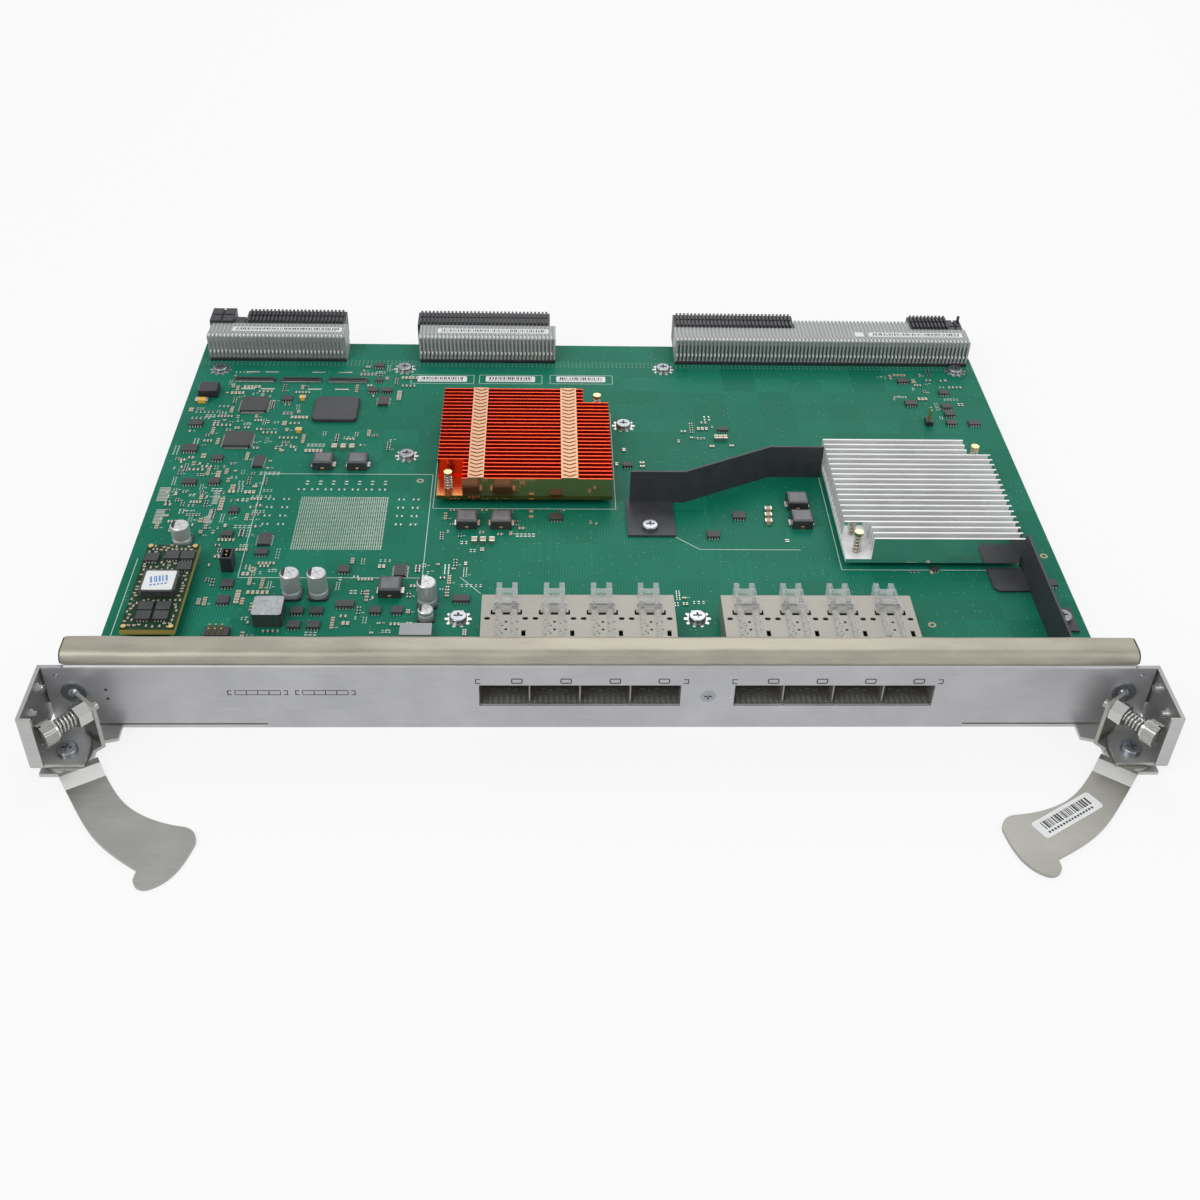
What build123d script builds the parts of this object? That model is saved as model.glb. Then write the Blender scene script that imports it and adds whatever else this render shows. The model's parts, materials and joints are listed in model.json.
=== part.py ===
from build123d import *
from math import cos, sin, radians
import os

# Switch core blade. X runs along the faceplate, Y runs to the backplane edge, Z is up.
# The origin is the middle of the faceplate's lower edge, on the plane that the blade rests on.
os.makedirs("parts", exist_ok=True)

# Sheet metal and board
sheet = 1.5
board_wide = 406.4
board_back = 279.4
board_thick = 2.4
board_top = 10.9
board_bottom = board_top - board_thick
board_corner = 1.5

# Faceplate
panel_overhang = 8.8
panel_half = board_wide / 2 + panel_overhang
panel_tall = 31.8
panel_end_drop = 0.7
panel_front = -sheet / 2
panel_back = sheet / 2
flange_inset = 8.3
flange_half = panel_half - flange_inset
flange_deep = 14.0
flange_bend = 1.2
notch_left = 131.0
notch_right = 141.5
notch_tall = 2.2
board_front = panel_back + 0.45

# Gasket on the top flange
gasket_overhang = 0.9
gasket_half = flange_half + gasket_overhang
gasket_deep = 12.4
gasket_tall = 5.2
gasket_set_back = 0.9
gasket_front_round = 3.9
gasket_back_round = 2.9
fabric_thick = 0.4
foam_proud = 0.6

# Pan under the board
pan_inset = 3.7
pan_half = board_wide / 2 - pan_inset
pan_back = board_back - 3.4
standoff_radius = 3.0
screw_bore = 1.6
screw_shank = 1.4
screw_head_radius = 3.7
screw_head_tall = 2.0
screw_reach = 4.0

# Ports
bay_count = 4
bay_pitch = 19.5
cage_wall = 0.5
cage_tall = 11.0
cage_back = 54.5
cage_front = board_front
window_lip = 0.6
window_low = board_top + 0.6
window_high = board_top + 11.3
window_wide = bay_count * bay_pitch - 0.3
left_window_start = -48.8
right_window_start = 49.7
connector_wide = 17.6
connector_tall = 7.0
connector_deep = 15.0
slot_wide = 14.6
slot_tall = 1.3
slot_deep = 9.0

# Ejector levers
pivot_inset = 9.0
pivot_x = panel_half - pivot_inset
pivot_y = -18.1
left_open = 43.0
right_open = 38.0
lever_gap = 0.2
lever_low = sheet + lever_gap
hub_radius = 9.0
pivot_radius = 2.0
pivot_bore = pivot_radius + 0.05
ear_radius = 9.0
ear_back = 12.0
ear_wide = 16.0
ear_shoulder = 8.0
joggle_turn = -17.0
joggle_start = 9.8
joggle_end = 16.0
lever_reach = 82.0
tab_low = lever_low + sheet + lever_gap
tab_front_edge = 7.4

# Captive screw, measured along its own axis from the lever's upturned tab
wall_near = 10.9
wall_half = 5.5
wall_top = 22.9
screw_offset = 1.0
screw_height = board_top + 8.0
shank_radius = 1.9
ferrule_bore = shank_radius + 0.1
ferrule_long = 5.5
ferrule_radius = 4.6
screw_travel = 6.0
tip_past_wall = 2.5
washer_start = 13.7
washer_thick = 0.8
washer_radius = 4.2
washer_gap = 0.05
knob_radius = 4.7
knob_long = 5.0
knurl_count = 28
spring_wire = 0.35
spring_radius = 2.9
spring_turns = 5

# End brackets
bracket_gap = 0.9
bracket_in = panel_half + bracket_gap
bracket_out = bracket_in + sheet
bracket_front = -28.2
bracket_low = 5.9
bracket_high = 29.9
lip_wide = 5.5
back_flange_in = pivot_x - 6.5
back_flange_low = 12.0
insert_flange = 4.75
insert_barrel = 3.2
insert_bore = 2.2
insert_long = 7.0
insert_proud = 0.8
guide_hole_inset = 4.6
guide_hole_x = panel_half - guide_hole_inset
guide_hole_z = 27.2
guide_hole_radius = 1.1

# Screw in the middle of the faceplate
panel_screw_x = 39.6
panel_screw_z = 16.4
countersink_radius = 3.0
block_wide = 9.0
block_deep = 9.0

# Backplane connectors
wafer_front = board_back - 17.9
wafer_back = board_back - 3.4
wafer_tall = 13.6
wafer_pitch = 2.0
ridge_wide = 1.0
ridge_proud = 0.5
housing_back = board_back + 10.1
tooth_proud = 1.4
guide_bore = 2.6
guide_bore_deep = 11.0

# Heat sinks
sink_base = 2.0
copper_left = -73.0
copper_right = 7.0
copper_front = 132.2
copper_back = 209.8
copper_low = board_top + 3.7
copper_high = board_top + 15.2
copper_fin = 0.6
copper_fin_count = 26
copper_notch_x = 11.8
copper_notch_y = 14.0
copper_back_notch = 12.2
tab_strip_left = (-58.6, -51.4)
tab_strip_right = (-16.3, -8.6)
tab_strip_thick = 0.5
aluminium_left = 107.3
aluminium_right = 184.2
aluminium_front = 87.0
aluminium_back = 165.3
aluminium_low = board_top + 3.0
aluminium_high = board_top + 16.0
aluminium_fin = 1.0
aluminium_fin_count = 20
aluminium_notch_x = 11.2
aluminium_notch_y = 12.2
aluminium_back_notch_x = 10.2
aluminium_back_notch_y = 12.4
copper_chip = 42.5
aluminium_chip = 37.5
pad_thick = 0.6
pin_radius = 1.0
pin_hole = pin_radius + 0.2
pin_head_radius = 1.9
pin_head_tall = 1.6
pin_inset = 5.3

# Air baffles
baffle_sheet = 1.0
baffle_tall = 17.0

# Where things stand on the board: (x, y)
screw_spots = [
    (-59.5, 52), (40, 52.4), (-89.7, 172.6), (-96.7, 253.4),
    (-191.2, 251.4), (15, 200.5), (38, 255), (192.8, 255.8),
]
baffle_screw_spots = [(23.6, 115), (194.1, 52.2)]
pin_spots = [
    (copper_left + pin_inset, copper_front + pin_inset),
    (copper_right - pin_inset, copper_back - pin_inset),
    (aluminium_left + pin_inset, aluminium_front + pin_inset),
    (aluminium_right - pin_inset, aluminium_back - pin_inset),
]
pin_floors = [copper_low, copper_low, aluminium_low, aluminium_low]
pin_tops = [copper_high, copper_high, aluminium_high, aluminium_high]

sides = (-1, 1)
window_starts = (left_window_start, right_window_start)
bay_centres = [
    start + window_wide / 2 + (bay - (bay_count - 1) / 2) * bay_pitch
    for start in window_starts
    for bay in range(bay_count)
]


def inboard(side, u):
    """X of a point u mm inboard of the lever pivot on the given side, -1 left or 1 right."""
    return side * (pivot_x - u)


# Circuit board
with BuildPart() as circuit_board:
    with BuildSketch(Plane.XY.offset(board_bottom)):
        with Locations((0, (board_front + board_back) / 2)):
            Rectangle(board_wide, board_back - board_front)
        with Locations(*screw_spots, *baffle_screw_spots):
            Circle(screw_bore, mode=Mode.SUBTRACT)
        with Locations(*pin_spots):
            Circle(pin_hole, mode=Mode.SUBTRACT)
    extrude(amount=board_thick)
    fillet(circuit_board.edges().filter_by(Axis.Z).group_by(Axis.Y)[-1], board_corner)
circuit_board.part.label = "circuit_board"
export_step(circuit_board.part, "parts/circuit_board.step")

# Faceplate: front sheet with port windows, lever notches and the top return flange
with BuildPart() as faceplate:
    with BuildSketch(Plane.XZ.offset(-panel_back)):
        with BuildLine():
            Polyline(
                (-panel_half, notch_tall),
                (-notch_left, notch_tall),
                (-notch_left, 0),
                (notch_right, 0),
                (notch_right, notch_tall),
                (panel_half, notch_tall),
                (panel_half, panel_tall - panel_end_drop),
                (flange_half, panel_tall - panel_end_drop),
                (flange_half, panel_tall),
                (-flange_half, panel_tall),
                (-flange_half, panel_tall - panel_end_drop),
                (-panel_half, panel_tall - panel_end_drop),
                close=True,
            )
        make_face()
        for start in window_starts:
            with Locations((start + window_wide / 2, (window_low + window_high) / 2)):
                Rectangle(window_wide, window_high - window_low, mode=Mode.SUBTRACT)
        with Locations((panel_screw_x, panel_screw_z)):
            Circle(screw_bore, mode=Mode.SUBTRACT)
        for side in sides:
            with Locations((inboard(side, screw_offset), screw_height)):
                Circle(insert_barrel, mode=Mode.SUBTRACT)
            with Locations((side * guide_hole_x, guide_hole_z)):
                Circle(guide_hole_radius, mode=Mode.SUBTRACT)
    extrude(amount=sheet)
    with BuildSketch(Plane.XY.offset(panel_tall - sheet)):
        with Locations((0, panel_front + flange_deep / 2)):
            Rectangle(2 * flange_half, flange_deep)
    extrude(amount=sheet)
    fillet(faceplate.edges().filter_by(Axis.X).group_by(Axis.Z)[-1].sort_by(Axis.Y)[0], flange_bend)
    with Locations(Plane(origin=(panel_screw_x, panel_front, panel_screw_z), z_dir=(0, -1, 0))):
        CounterSinkHole(radius=screw_bore, counter_sink_radius=countersink_radius, depth=sheet)
faceplate.part.label = "faceplate"
export_step(faceplate.part, "parts/faceplate.step")

# Gasket: rounded foam strip inside a woven sleeve
gasket_y = panel_front + gasket_set_back + gasket_deep / 2
with BuildPart() as gasket_foam:
    with BuildSketch(Plane.YZ.offset(-gasket_half - foam_proud)) as foam_section:
        with Locations((gasket_y, panel_tall + gasket_tall / 2)):
            Rectangle(gasket_deep - 2 * fabric_thick, gasket_tall - 2 * fabric_thick)
        upper = foam_section.vertices().group_by(Axis.Y)[-1].sort_by(Axis.X)
        fillet(upper[0], gasket_front_round - fabric_thick)
        upper = foam_section.vertices().group_by(Axis.Y)[-1].sort_by(Axis.X)
        fillet(upper[-1], gasket_back_round - fabric_thick)
    extrude(amount=2 * (gasket_half + foam_proud))
gasket_foam.part.label = "gasket_foam"
export_step(gasket_foam.part, "parts/gasket_foam.step")

with BuildPart() as gasket_fabric:
    with BuildSketch(Plane.YZ.offset(-gasket_half)) as sleeve_section:
        with Locations((gasket_y, panel_tall + gasket_tall / 2)):
            Rectangle(gasket_deep, gasket_tall)
        upper = sleeve_section.vertices().group_by(Axis.Y)[-1].sort_by(Axis.X)
        fillet(upper[0], gasket_front_round)
        upper = sleeve_section.vertices().group_by(Axis.Y)[-1].sort_by(Axis.X)
        fillet(upper[-1], gasket_back_round)
    extrude(amount=2 * gasket_half)
    add(gasket_foam.part, mode=Mode.SUBTRACT)
gasket_fabric.part.label = "gasket_fabric"
export_step(gasket_fabric.part, "parts/gasket_fabric.step")

# Pan under the board, with turned-up edges and one ear in front of the panel at each end
with BuildPart() as stiffener_pan:
    with BuildSketch(Plane.XY):
        with Locations((0, (panel_back + pan_back) / 2)):
            Rectangle(2 * pan_half, pan_back - panel_back)
        for side, notch in zip(sides, (notch_left, notch_right)):
            with Locations((side * (panel_half + notch) / 2, 0)):
                Rectangle(panel_half - notch, 2 * panel_back)
            with BuildLine():
                ear_start = (inboard(side, 0), pivot_y - ear_radius)
                ear_end = (inboard(side, ear_radius), pivot_y)
                ear_turn = radians(-45)
                ear_middle = (inboard(side, ear_radius * cos(ear_turn)), pivot_y + ear_radius * sin(ear_turn))
                Polyline((side * panel_half, ear_back), (side * panel_half, pivot_y - ear_radius), ear_start)
                ThreePointArc(ear_start, ear_middle, ear_end)
                Polyline(
                    ear_end,
                    (inboard(side, ear_radius), pivot_y + ear_shoulder),
                    (inboard(side, ear_wide), pivot_y + ear_shoulder + 2),
                    (inboard(side, ear_wide), panel_back),
                    (side * pan_half, panel_back),
                    (side * pan_half, ear_back),
                    (side * panel_half, ear_back),
                )
            make_face()
            with Locations((inboard(side, 0), pivot_y)):
                Circle(pivot_radius + 0.1, mode=Mode.SUBTRACT)
    extrude(amount=sheet)
    with BuildSketch(Plane.XY.offset(sheet)):
        for side in sides:
            with Locations((side * (pan_half - sheet / 2), (ear_back + pan_back) / 2)):
                Rectangle(sheet, pan_back - ear_back)
        with Locations((0, pan_back - sheet / 2)):
            Rectangle(2 * pan_half, sheet)
        with Locations(((notch_right - notch_left) / 2, panel_back + sheet / 2)):
            Rectangle(notch_left + notch_right, sheet)
    extrude(amount=board_bottom - sheet)
stiffener_pan.part.label = "stiffener_pan"
export_step(stiffener_pan.part, "parts/stiffener_pan.step")

# Spacers between pan and board
with BuildPart() as pan_standoffs:
    with BuildSketch(Plane.XY.offset(sheet)):
        with Locations(*screw_spots):
            Circle(standoff_radius)
            Circle(screw_bore, mode=Mode.SUBTRACT)
    extrude(amount=board_bottom - sheet)
pan_standoffs.part.label = "pan_standoffs"
export_step(pan_standoffs.part, "parts/pan_standoffs.step")


def cross_cut(size, depth):
    """Cut a cross recess into each screw head that stands at the current locations."""
    Box(size, size / 4, depth, align=(Align.CENTER, Align.CENTER, Align.MAX), mode=Mode.SUBTRACT)
    Box(size / 4, size, depth, align=(Align.CENTER, Align.CENTER, Align.MAX), mode=Mode.SUBTRACT)


# Pan-head screws that hold the board down
with BuildPart() as board_screws:
    with Locations(*[(x, y, board_top) for x, y in screw_spots]):
        Cylinder(screw_head_radius, screw_head_tall, align=(Align.CENTER, Align.CENTER, Align.MIN))
    fillet(board_screws.edges().group_by(Axis.Z)[-1], screw_head_tall / 3)
    with Locations(*[(x, y, board_top) for x, y in screw_spots]):
        Cylinder(screw_shank, board_thick + screw_reach, align=(Align.CENTER, Align.CENTER, Align.MAX))
    with Locations(*[(x, y, board_top + screw_head_tall) for x, y in screw_spots]):
        cross_cut(screw_head_radius, screw_head_tall / 2)
board_screws.part.label = "board_screws"
export_step(board_screws.part, "parts/board_screws.step")

# Block behind the faceplate, and the countersunk screw that pulls the panel to it
block_mid = panel_back + block_deep / 2
with BuildPart() as screw_block:
    with Locations((panel_screw_x, block_mid + cage_wall, board_top)):
        Box(
            block_wide,
            block_deep - 2 * cage_wall,
            panel_screw_z - board_top + block_wide / 2,
            align=(Align.CENTER, Align.CENTER, Align.MIN),
        )
    with Locations(Plane(origin=(panel_screw_x, panel_back, panel_screw_z), z_dir=(0, -1, 0))):
        Hole(screw_bore)
screw_block.part.label = "screw_block"
export_step(screw_block.part, "parts/screw_block.step")

with BuildPart() as panel_screw:
    with BuildSketch(Plane.XY) as screw_profile:
        with BuildLine():
            Polyline(
                (0, 0),
                (countersink_radius - 0.05, 0),
                (screw_shank, -(countersink_radius - 0.05 - screw_shank)),
                (screw_shank, -block_deep),
                (0, -block_deep),
                close=True,
            )
        make_face()
    revolve(axis=Axis.Y)
    with Locations(Plane(origin=(0, 0, 0), z_dir=(0, 1, 0))):
        cross_cut(countersink_radius, sheet / 2)
screw_placed = Location((panel_screw_x, panel_front, panel_screw_z), (0, 0, 180)) * panel_screw.part
screw_placed.label = "panel_screw"
export_step(screw_placed, "parts/panel_screw.step")

# End brackets: side plate, front lip, flange behind the panel and the lower tab for the pivot
for side, name in zip(sides, ("left_end_bracket", "right_end_bracket")):
    plate_x = min(side * bracket_in, side * bracket_out)
    with BuildPart() as end_bracket:
        with BuildSketch(Plane.YZ.offset(plate_x)):
            with BuildLine():
                Polyline(
                    (panel_back + sheet, bracket_low),
                    (panel_back + sheet, bracket_high),
                    (bracket_front, bracket_high),
                    (bracket_front, bracket_low),
                    (pivot_y - tab_front_edge, bracket_low),
                    (pivot_y - tab_front_edge, tab_low),
                    (pivot_y + wall_near - lever_gap * 3, tab_low),
                    (pivot_y + wall_near - lever_gap * 3, bracket_low),
                    close=True,
                )
            make_face()
        extrude(amount=sheet)
        with BuildSketch(Plane.XZ.offset(-bracket_front - sheet)):
            with Locations((side * (bracket_out - lip_wide / 2), (bracket_low + bracket_high) / 2)):
                Rectangle(lip_wide, bracket_high - bracket_low)
        extrude(amount=sheet)
        with BuildSketch(Plane.XZ.offset(-panel_back - sheet)):
            with Locations(
                (side * (bracket_out + back_flange_in) / 2, (back_flange_low + bracket_high) / 2)
            ):
                Rectangle(bracket_out - back_flange_in, bracket_high - back_flange_low)
            with Locations((inboard(side, screw_offset), screw_height)):
                Circle(insert_barrel, mode=Mode.SUBTRACT)
            with Locations((side * guide_hole_x, guide_hole_z)):
                Circle(guide_hole_radius, mode=Mode.SUBTRACT)
        extrude(amount=sheet)
        with BuildSketch(Plane.XY.offset(tab_low)):
            with BuildLine():
                Polyline(
                    (side * bracket_out, pivot_y + wall_near - lever_gap * 3),
                    (inboard(side, 2.2), pivot_y + wall_near - lever_gap * 3),
                    (inboard(side, 6.5), pivot_y + 7.8),
                    (inboard(side, 7.9), pivot_y + 3.7),
                    (inboard(side, 7.9), pivot_y - tab_front_edge),
                    (side * bracket_out, pivot_y - tab_front_edge),
                    close=True,
                )
            make_face()
            with Locations((inboard(side, 0), pivot_y)):
                Circle(pivot_radius + 0.1, mode=Mode.SUBTRACT)
        extrude(amount=sheet)
        lip_edge = end_bracket.edges().filter_by(Axis.Z).group_by(Axis.Y)[0]
        fillet(lip_edge.sort_by(Axis.X)[0 if side < 0 else -1], sheet * 0.8)
        # One folded sheet, kept as flats that touch along the folds, each simple in shape
        split(bisect_by=Plane.XZ.offset(-bracket_front - sheet), keep=Keep.BOTH)
        split(bisect_by=Plane.YZ.offset(side * bracket_in), keep=Keep.BOTH)
    end_bracket.part.label = name
    export_step(end_bracket.part, f"parts/{name}.step")

# Press-in studs through the bracket sides
stud_spots = [(-0.9, 24.5), (-15.8, 21.3)]
stud_radius = 1.6
stud_head = 2.5
stud_head_thick = 0.6
with BuildPart() as bracket_studs:
    for side in sides:
        for y, z in stud_spots:
            with Locations(Plane(origin=(side * bracket_in, y if y < -5 else y - 4, z), z_dir=(-side, 0, 0))):
                Cylinder(stud_head, stud_head_thick, align=(Align.CENTER, Align.CENTER, Align.MIN))
                with Locations((0, 0, stud_head_thick)):
                    Cylinder(stud_radius, stud_head_thick * 2, align=(Align.CENTER, Align.CENTER, Align.MIN))
bracket_studs.part.label = "bracket_studs"
export_step(bracket_studs.part, "parts/bracket_studs.step")

# Threaded bushes in the faceplate that the captive screws lock into
with BuildPart() as panel_inserts:
    for side in sides:
        bush_front = Plane(
            origin=(inboard(side, screw_offset), panel_front - insert_proud, screw_height), z_dir=(0, 1, 0)
        )
        with BuildSketch(bush_front):
            Circle(insert_flange)
            Circle(insert_bore, mode=Mode.SUBTRACT)
        extrude(amount=insert_proud)
        with BuildSketch(bush_front):
            Circle(insert_barrel - 0.02)
            Circle(insert_bore, mode=Mode.SUBTRACT)
        extrude(amount=insert_long)
panel_inserts.part.label = "panel_inserts"
export_step(panel_inserts.part, "parts/panel_inserts.step")

# Pivot screws: head on the tab, shank through lever and ear
pivot_head_radius = 3.9
pivot_head_tall = 1.8
with BuildPart() as pivot_screws:
    pivot_spots = [(inboard(side, 0), pivot_y) for side in sides]
    with BuildSketch(Plane.XY.offset(tab_low + sheet)):
        with Locations(*pivot_spots):
            Circle(pivot_head_radius)
    extrude(amount=pivot_head_tall)
    fillet(pivot_screws.edges().group_by(Axis.Z)[-1], pivot_head_tall / 3)
    with BuildSketch(Plane.XY.offset(lever_gap)):
        with Locations(*pivot_spots):
            Circle(pivot_radius)
    extrude(amount=tab_low + sheet - lever_gap)
    with Locations(*[(x, y, tab_low + sheet + pivot_head_tall) for x, y in pivot_spots]):
        cross_cut(pivot_head_radius, pivot_head_tall / 2)
pivot_screws.part.label = "pivot_screws"
export_step(pivot_screws.part, "parts/pivot_screws.step")

# Levers with their captive screws. Each is drawn as the left one, turned by its own opening
# angle about the pivot, and the right one is mirrored.
for name, open_turn in (("left", left_open), ("right", right_open)):
    mirrored = name == "right"
    across = (cos(radians(-open_turn)), sin(radians(-open_turn)), 0)
    forward = (sin(radians(open_turn)), cos(radians(open_turn)), 0)
    hub_plane = Plane(origin=(-pivot_x, pivot_y, 0), x_dir=across, z_dir=(0, 0, 1))
    fall = radians(joggle_turn - open_turn)
    side_plane = Plane(
        origin=(-pivot_x, pivot_y, 0), x_dir=(cos(fall), sin(fall), 0), z_dir=(sin(fall), -cos(fall), 0)
    )
    wall_face = Vector(-pivot_x, pivot_y, screw_height)
    wall_face = wall_face + Vector(*across) * screw_offset + Vector(*forward) * wall_near
    axis_plane = Plane(origin=wall_face, x_dir=(0, 0, 1), z_dir=(-forward[0], -forward[1], 0))

    with BuildPart() as lever:
        with BuildSketch(hub_plane) as lever_plan:
            with BuildLine():
                Line((9.4, 6.4), (6.5, -8.7))
                Spline((6.5, -8.7), (24.4, -13.4), (42, -16.7), (57, -16.1), (64.6, -15.0))
                Line((64.6, -15.0), (66.9, -18.2))
                ThreePointArc((66.9, -18.2), (71.2, -19.4), (74.3, -16.4))
                Spline((74.3, -16.4), (75.4, -10), (73.6, -2.4), (69.4, 6.0))
                ThreePointArc((69.4, 6.0), (65, 8.9), (60, 7.9))
                Spline((60, 7.9), (49, 2.5), (37.5, 0.3), (25, 1.9), (9.4, 6.4))
            make_face()
            Circle(hub_radius)
            with Locations((0, wall_near / 2)):
                Rectangle(2 * wall_half, wall_near + sheet / 2)
            Circle(pivot_bore, mode=Mode.SUBTRACT)
        extrude(amount=lever_low + sheet)
        with BuildSketch(side_plane):
            with BuildLine():
                Polyline(
                    (-lever_reach, lever_low),
                    (joggle_start, lever_low),
                    (joggle_end, 0),
                    (lever_reach, 0),
                    (lever_reach, sheet),
                    (joggle_end + sheet / 4, sheet),
                    (joggle_start + sheet / 4, lever_low + sheet),
                    (-lever_reach, lever_low + sheet),
                    close=True,
                )
            make_face()
        extrude(amount=lever_reach, both=True, mode=Mode.INTERSECT)
        with BuildSketch(hub_plane.offset(lever_low)):
            with Locations((0, wall_near + sheet / 2)):
                Rectangle(2 * wall_half, sheet)
        extrude(amount=wall_top - lever_low)
        with BuildSketch(axis_plane.offset(ferrule_long)):
            Circle(ferrule_bore)
        extrude(amount=-ferrule_long - 2 * sheet, mode=Mode.SUBTRACT)
        if mirrored:
            mirror(about=Plane.YZ, mode=Mode.REPLACE)
    lever.part.label = f"{name}_lever"
    export_step(lever.part, f"parts/{name}_lever.step")

    with BuildPart() as ferrule:
        with BuildSketch(axis_plane):
            RegularPolygon(ferrule_radius, 6)
            Circle(ferrule_bore, mode=Mode.SUBTRACT)
        extrude(amount=ferrule_long)
        if mirrored:
            mirror(about=Plane.YZ, mode=Mode.REPLACE)
    ferrule.part.label = f"{name}_ferrule"
    export_step(ferrule.part, f"parts/{name}_ferrule.step")

    spring_start = ferrule_long + spring_wire
    spring_long = washer_start - ferrule_long - 2 * spring_wire
    with BuildPart() as screw_spring:
        coil_start = wall_face + axis_plane.z_dir * spring_start
        with BuildLine() as coil:
            Helix(
                pitch=spring_long / spring_turns, height=spring_long, radius=spring_radius,
                center=coil_start, direction=axis_plane.z_dir,
            )
        with BuildSketch(Plane(origin=coil.line @ 0, z_dir=coil.line % 0)):
            Circle(spring_wire)
        sweep(path=coil.line, is_frenet=True)
        if mirrored:
            mirror(about=Plane.YZ, mode=Mode.REPLACE)
    screw_spring.part.label = f"{name}_screw_spring"
    export_step(screw_spring.part, f"parts/{name}_screw_spring.step")

    with BuildPart() as spring_washer:
        with BuildSketch(axis_plane.offset(washer_start)):
            Circle(washer_radius)
            Circle(ferrule_bore, mode=Mode.SUBTRACT)
        extrude(amount=washer_thick)
        if mirrored:
            mirror(about=Plane.YZ, mode=Mode.REPLACE)
    spring_washer.part.label = f"{name}_spring_washer"
    export_step(spring_washer.part, f"parts/{name}_spring_washer.step")

    knob_start = washer_start + washer_thick + washer_gap
    knurl_radius = 0.45
    with BuildPart() as thumbscrew:
        with BuildSketch(axis_plane.offset(knob_start)):
            Circle(knob_radius)
            with PolarLocations(knob_radius, knurl_count):
                Circle(knurl_radius / 2, mode=Mode.SUBTRACT)
        extrude(amount=knob_long)
        with BuildSketch(axis_plane.offset(-sheet - tip_past_wall)):
            Circle(shank_radius)
        extrude(amount=knob_start + sheet + tip_past_wall)
        with BuildSketch(axis_plane.offset(knob_start + knob_long)):
            Rectangle(2 * knob_radius, knurl_radius * 2)
        extrude(amount=-knob_long / 4, mode=Mode.SUBTRACT)
        if mirrored:
            mirror(about=Plane.YZ, mode=Mode.REPLACE)
    thumbscrew.part.label = f"{name}_thumbscrew"
    export_step(thumbscrew.part, f"parts/{name}_thumbscrew.step")

# Port cages: four open bays each, a floor, a back wall, and slots and holes in the top
slot_row = 42.5
oval_row = 39.4
latch_spot = (7.05, 30.3)
wide_dots = [(0, 37.3), (0, 32.6)]
fine_dots = [
    (-3.7, 38.5), (-3.7, 33.8), (-3.7, 29.3), (-2.4, 36.3), (-2.4, 31.6), (-1.5, 35.0), (-1.5, 30.3),
    (2.4, 36.2), (2.4, 31.6), (4.5, 37.4), (4.5, 32.6),
]
wide_dot_radius = 0.6
fine_dot_radius = 0.35
for name, start in zip(("left_port_cage", "right_port_cage"), window_starts):
    cage_mid = start + window_wide / 2
    cage_wide = bay_count * bay_pitch + 2 * cage_wall
    bay_spots = [
        (cage_mid + (bay - (bay_count - 1) / 2) * bay_pitch, board_top + cage_tall / 2)
        for bay in range(bay_count)
    ]
    with BuildPart() as port_cage:
        with BuildSketch(Plane.XZ.offset(-cage_back)):
            with Locations((cage_mid, board_top + cage_tall / 2)):
                Rectangle(cage_wide, cage_tall)
        extrude(amount=cage_back - cage_front)
        with BuildSketch(Plane.XZ.offset(-cage_back + cage_wall)):
            with Locations(*bay_spots):
                Rectangle(bay_pitch - cage_wall, cage_tall - 2 * cage_wall)
        extrude(amount=cage_back - cage_front, mode=Mode.SUBTRACT)
        with BuildSketch(Plane.XY.offset(board_top + cage_tall - 2 * cage_wall)):
            for x, z in bay_spots:
                with Locations((x, slot_row)):
                    Rectangle(3.0, 1.5)
                for turn in sides:
                    with Locations((x + turn * 5.4, slot_row)):
                        Rectangle(1.8, 1.5)
                    with Locations((x + turn * 6.0, slot_row + 0.9)):
                        Rectangle(0.7, 2.8)
                    with Locations((x + turn * 7.7, oval_row)):
                        SlotOverall(2.4, 1.7)
                with Locations((x + latch_spot[0], latch_spot[1])):
                    Rectangle(1.7, 3.5)
                with Locations(*[(x + across, y) for across, y in wide_dots]):
                    Circle(wide_dot_radius)
                with Locations(*[(x + across, y) for across, y in fine_dots]):
                    Circle(fine_dot_radius)
        extrude(amount=3 * cage_wall, mode=Mode.SUBTRACT)
    port_cage.part.label = name
    export_step(port_cage.part, f"parts/{name}.step")

# Host connectors at the back of the bays
connector_back = cage_back - 2 * cage_wall
with BuildPart() as port_connectors:
    for x in bay_centres:
        with Locations((x, connector_back, board_top + cage_wall)):
            Box(
                connector_wide, connector_deep, connector_tall,
                align=(Align.CENTER, Align.MAX, Align.MIN),
            )
        with Locations((x, connector_back - connector_deep, board_top + cage_wall + connector_tall / 2)):
            Box(slot_wide, 2 * slot_deep, slot_tall, mode=Mode.SUBTRACT)
port_connectors.part.label = "port_connectors"
export_step(port_connectors.part, "parts/port_connectors.step")

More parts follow.
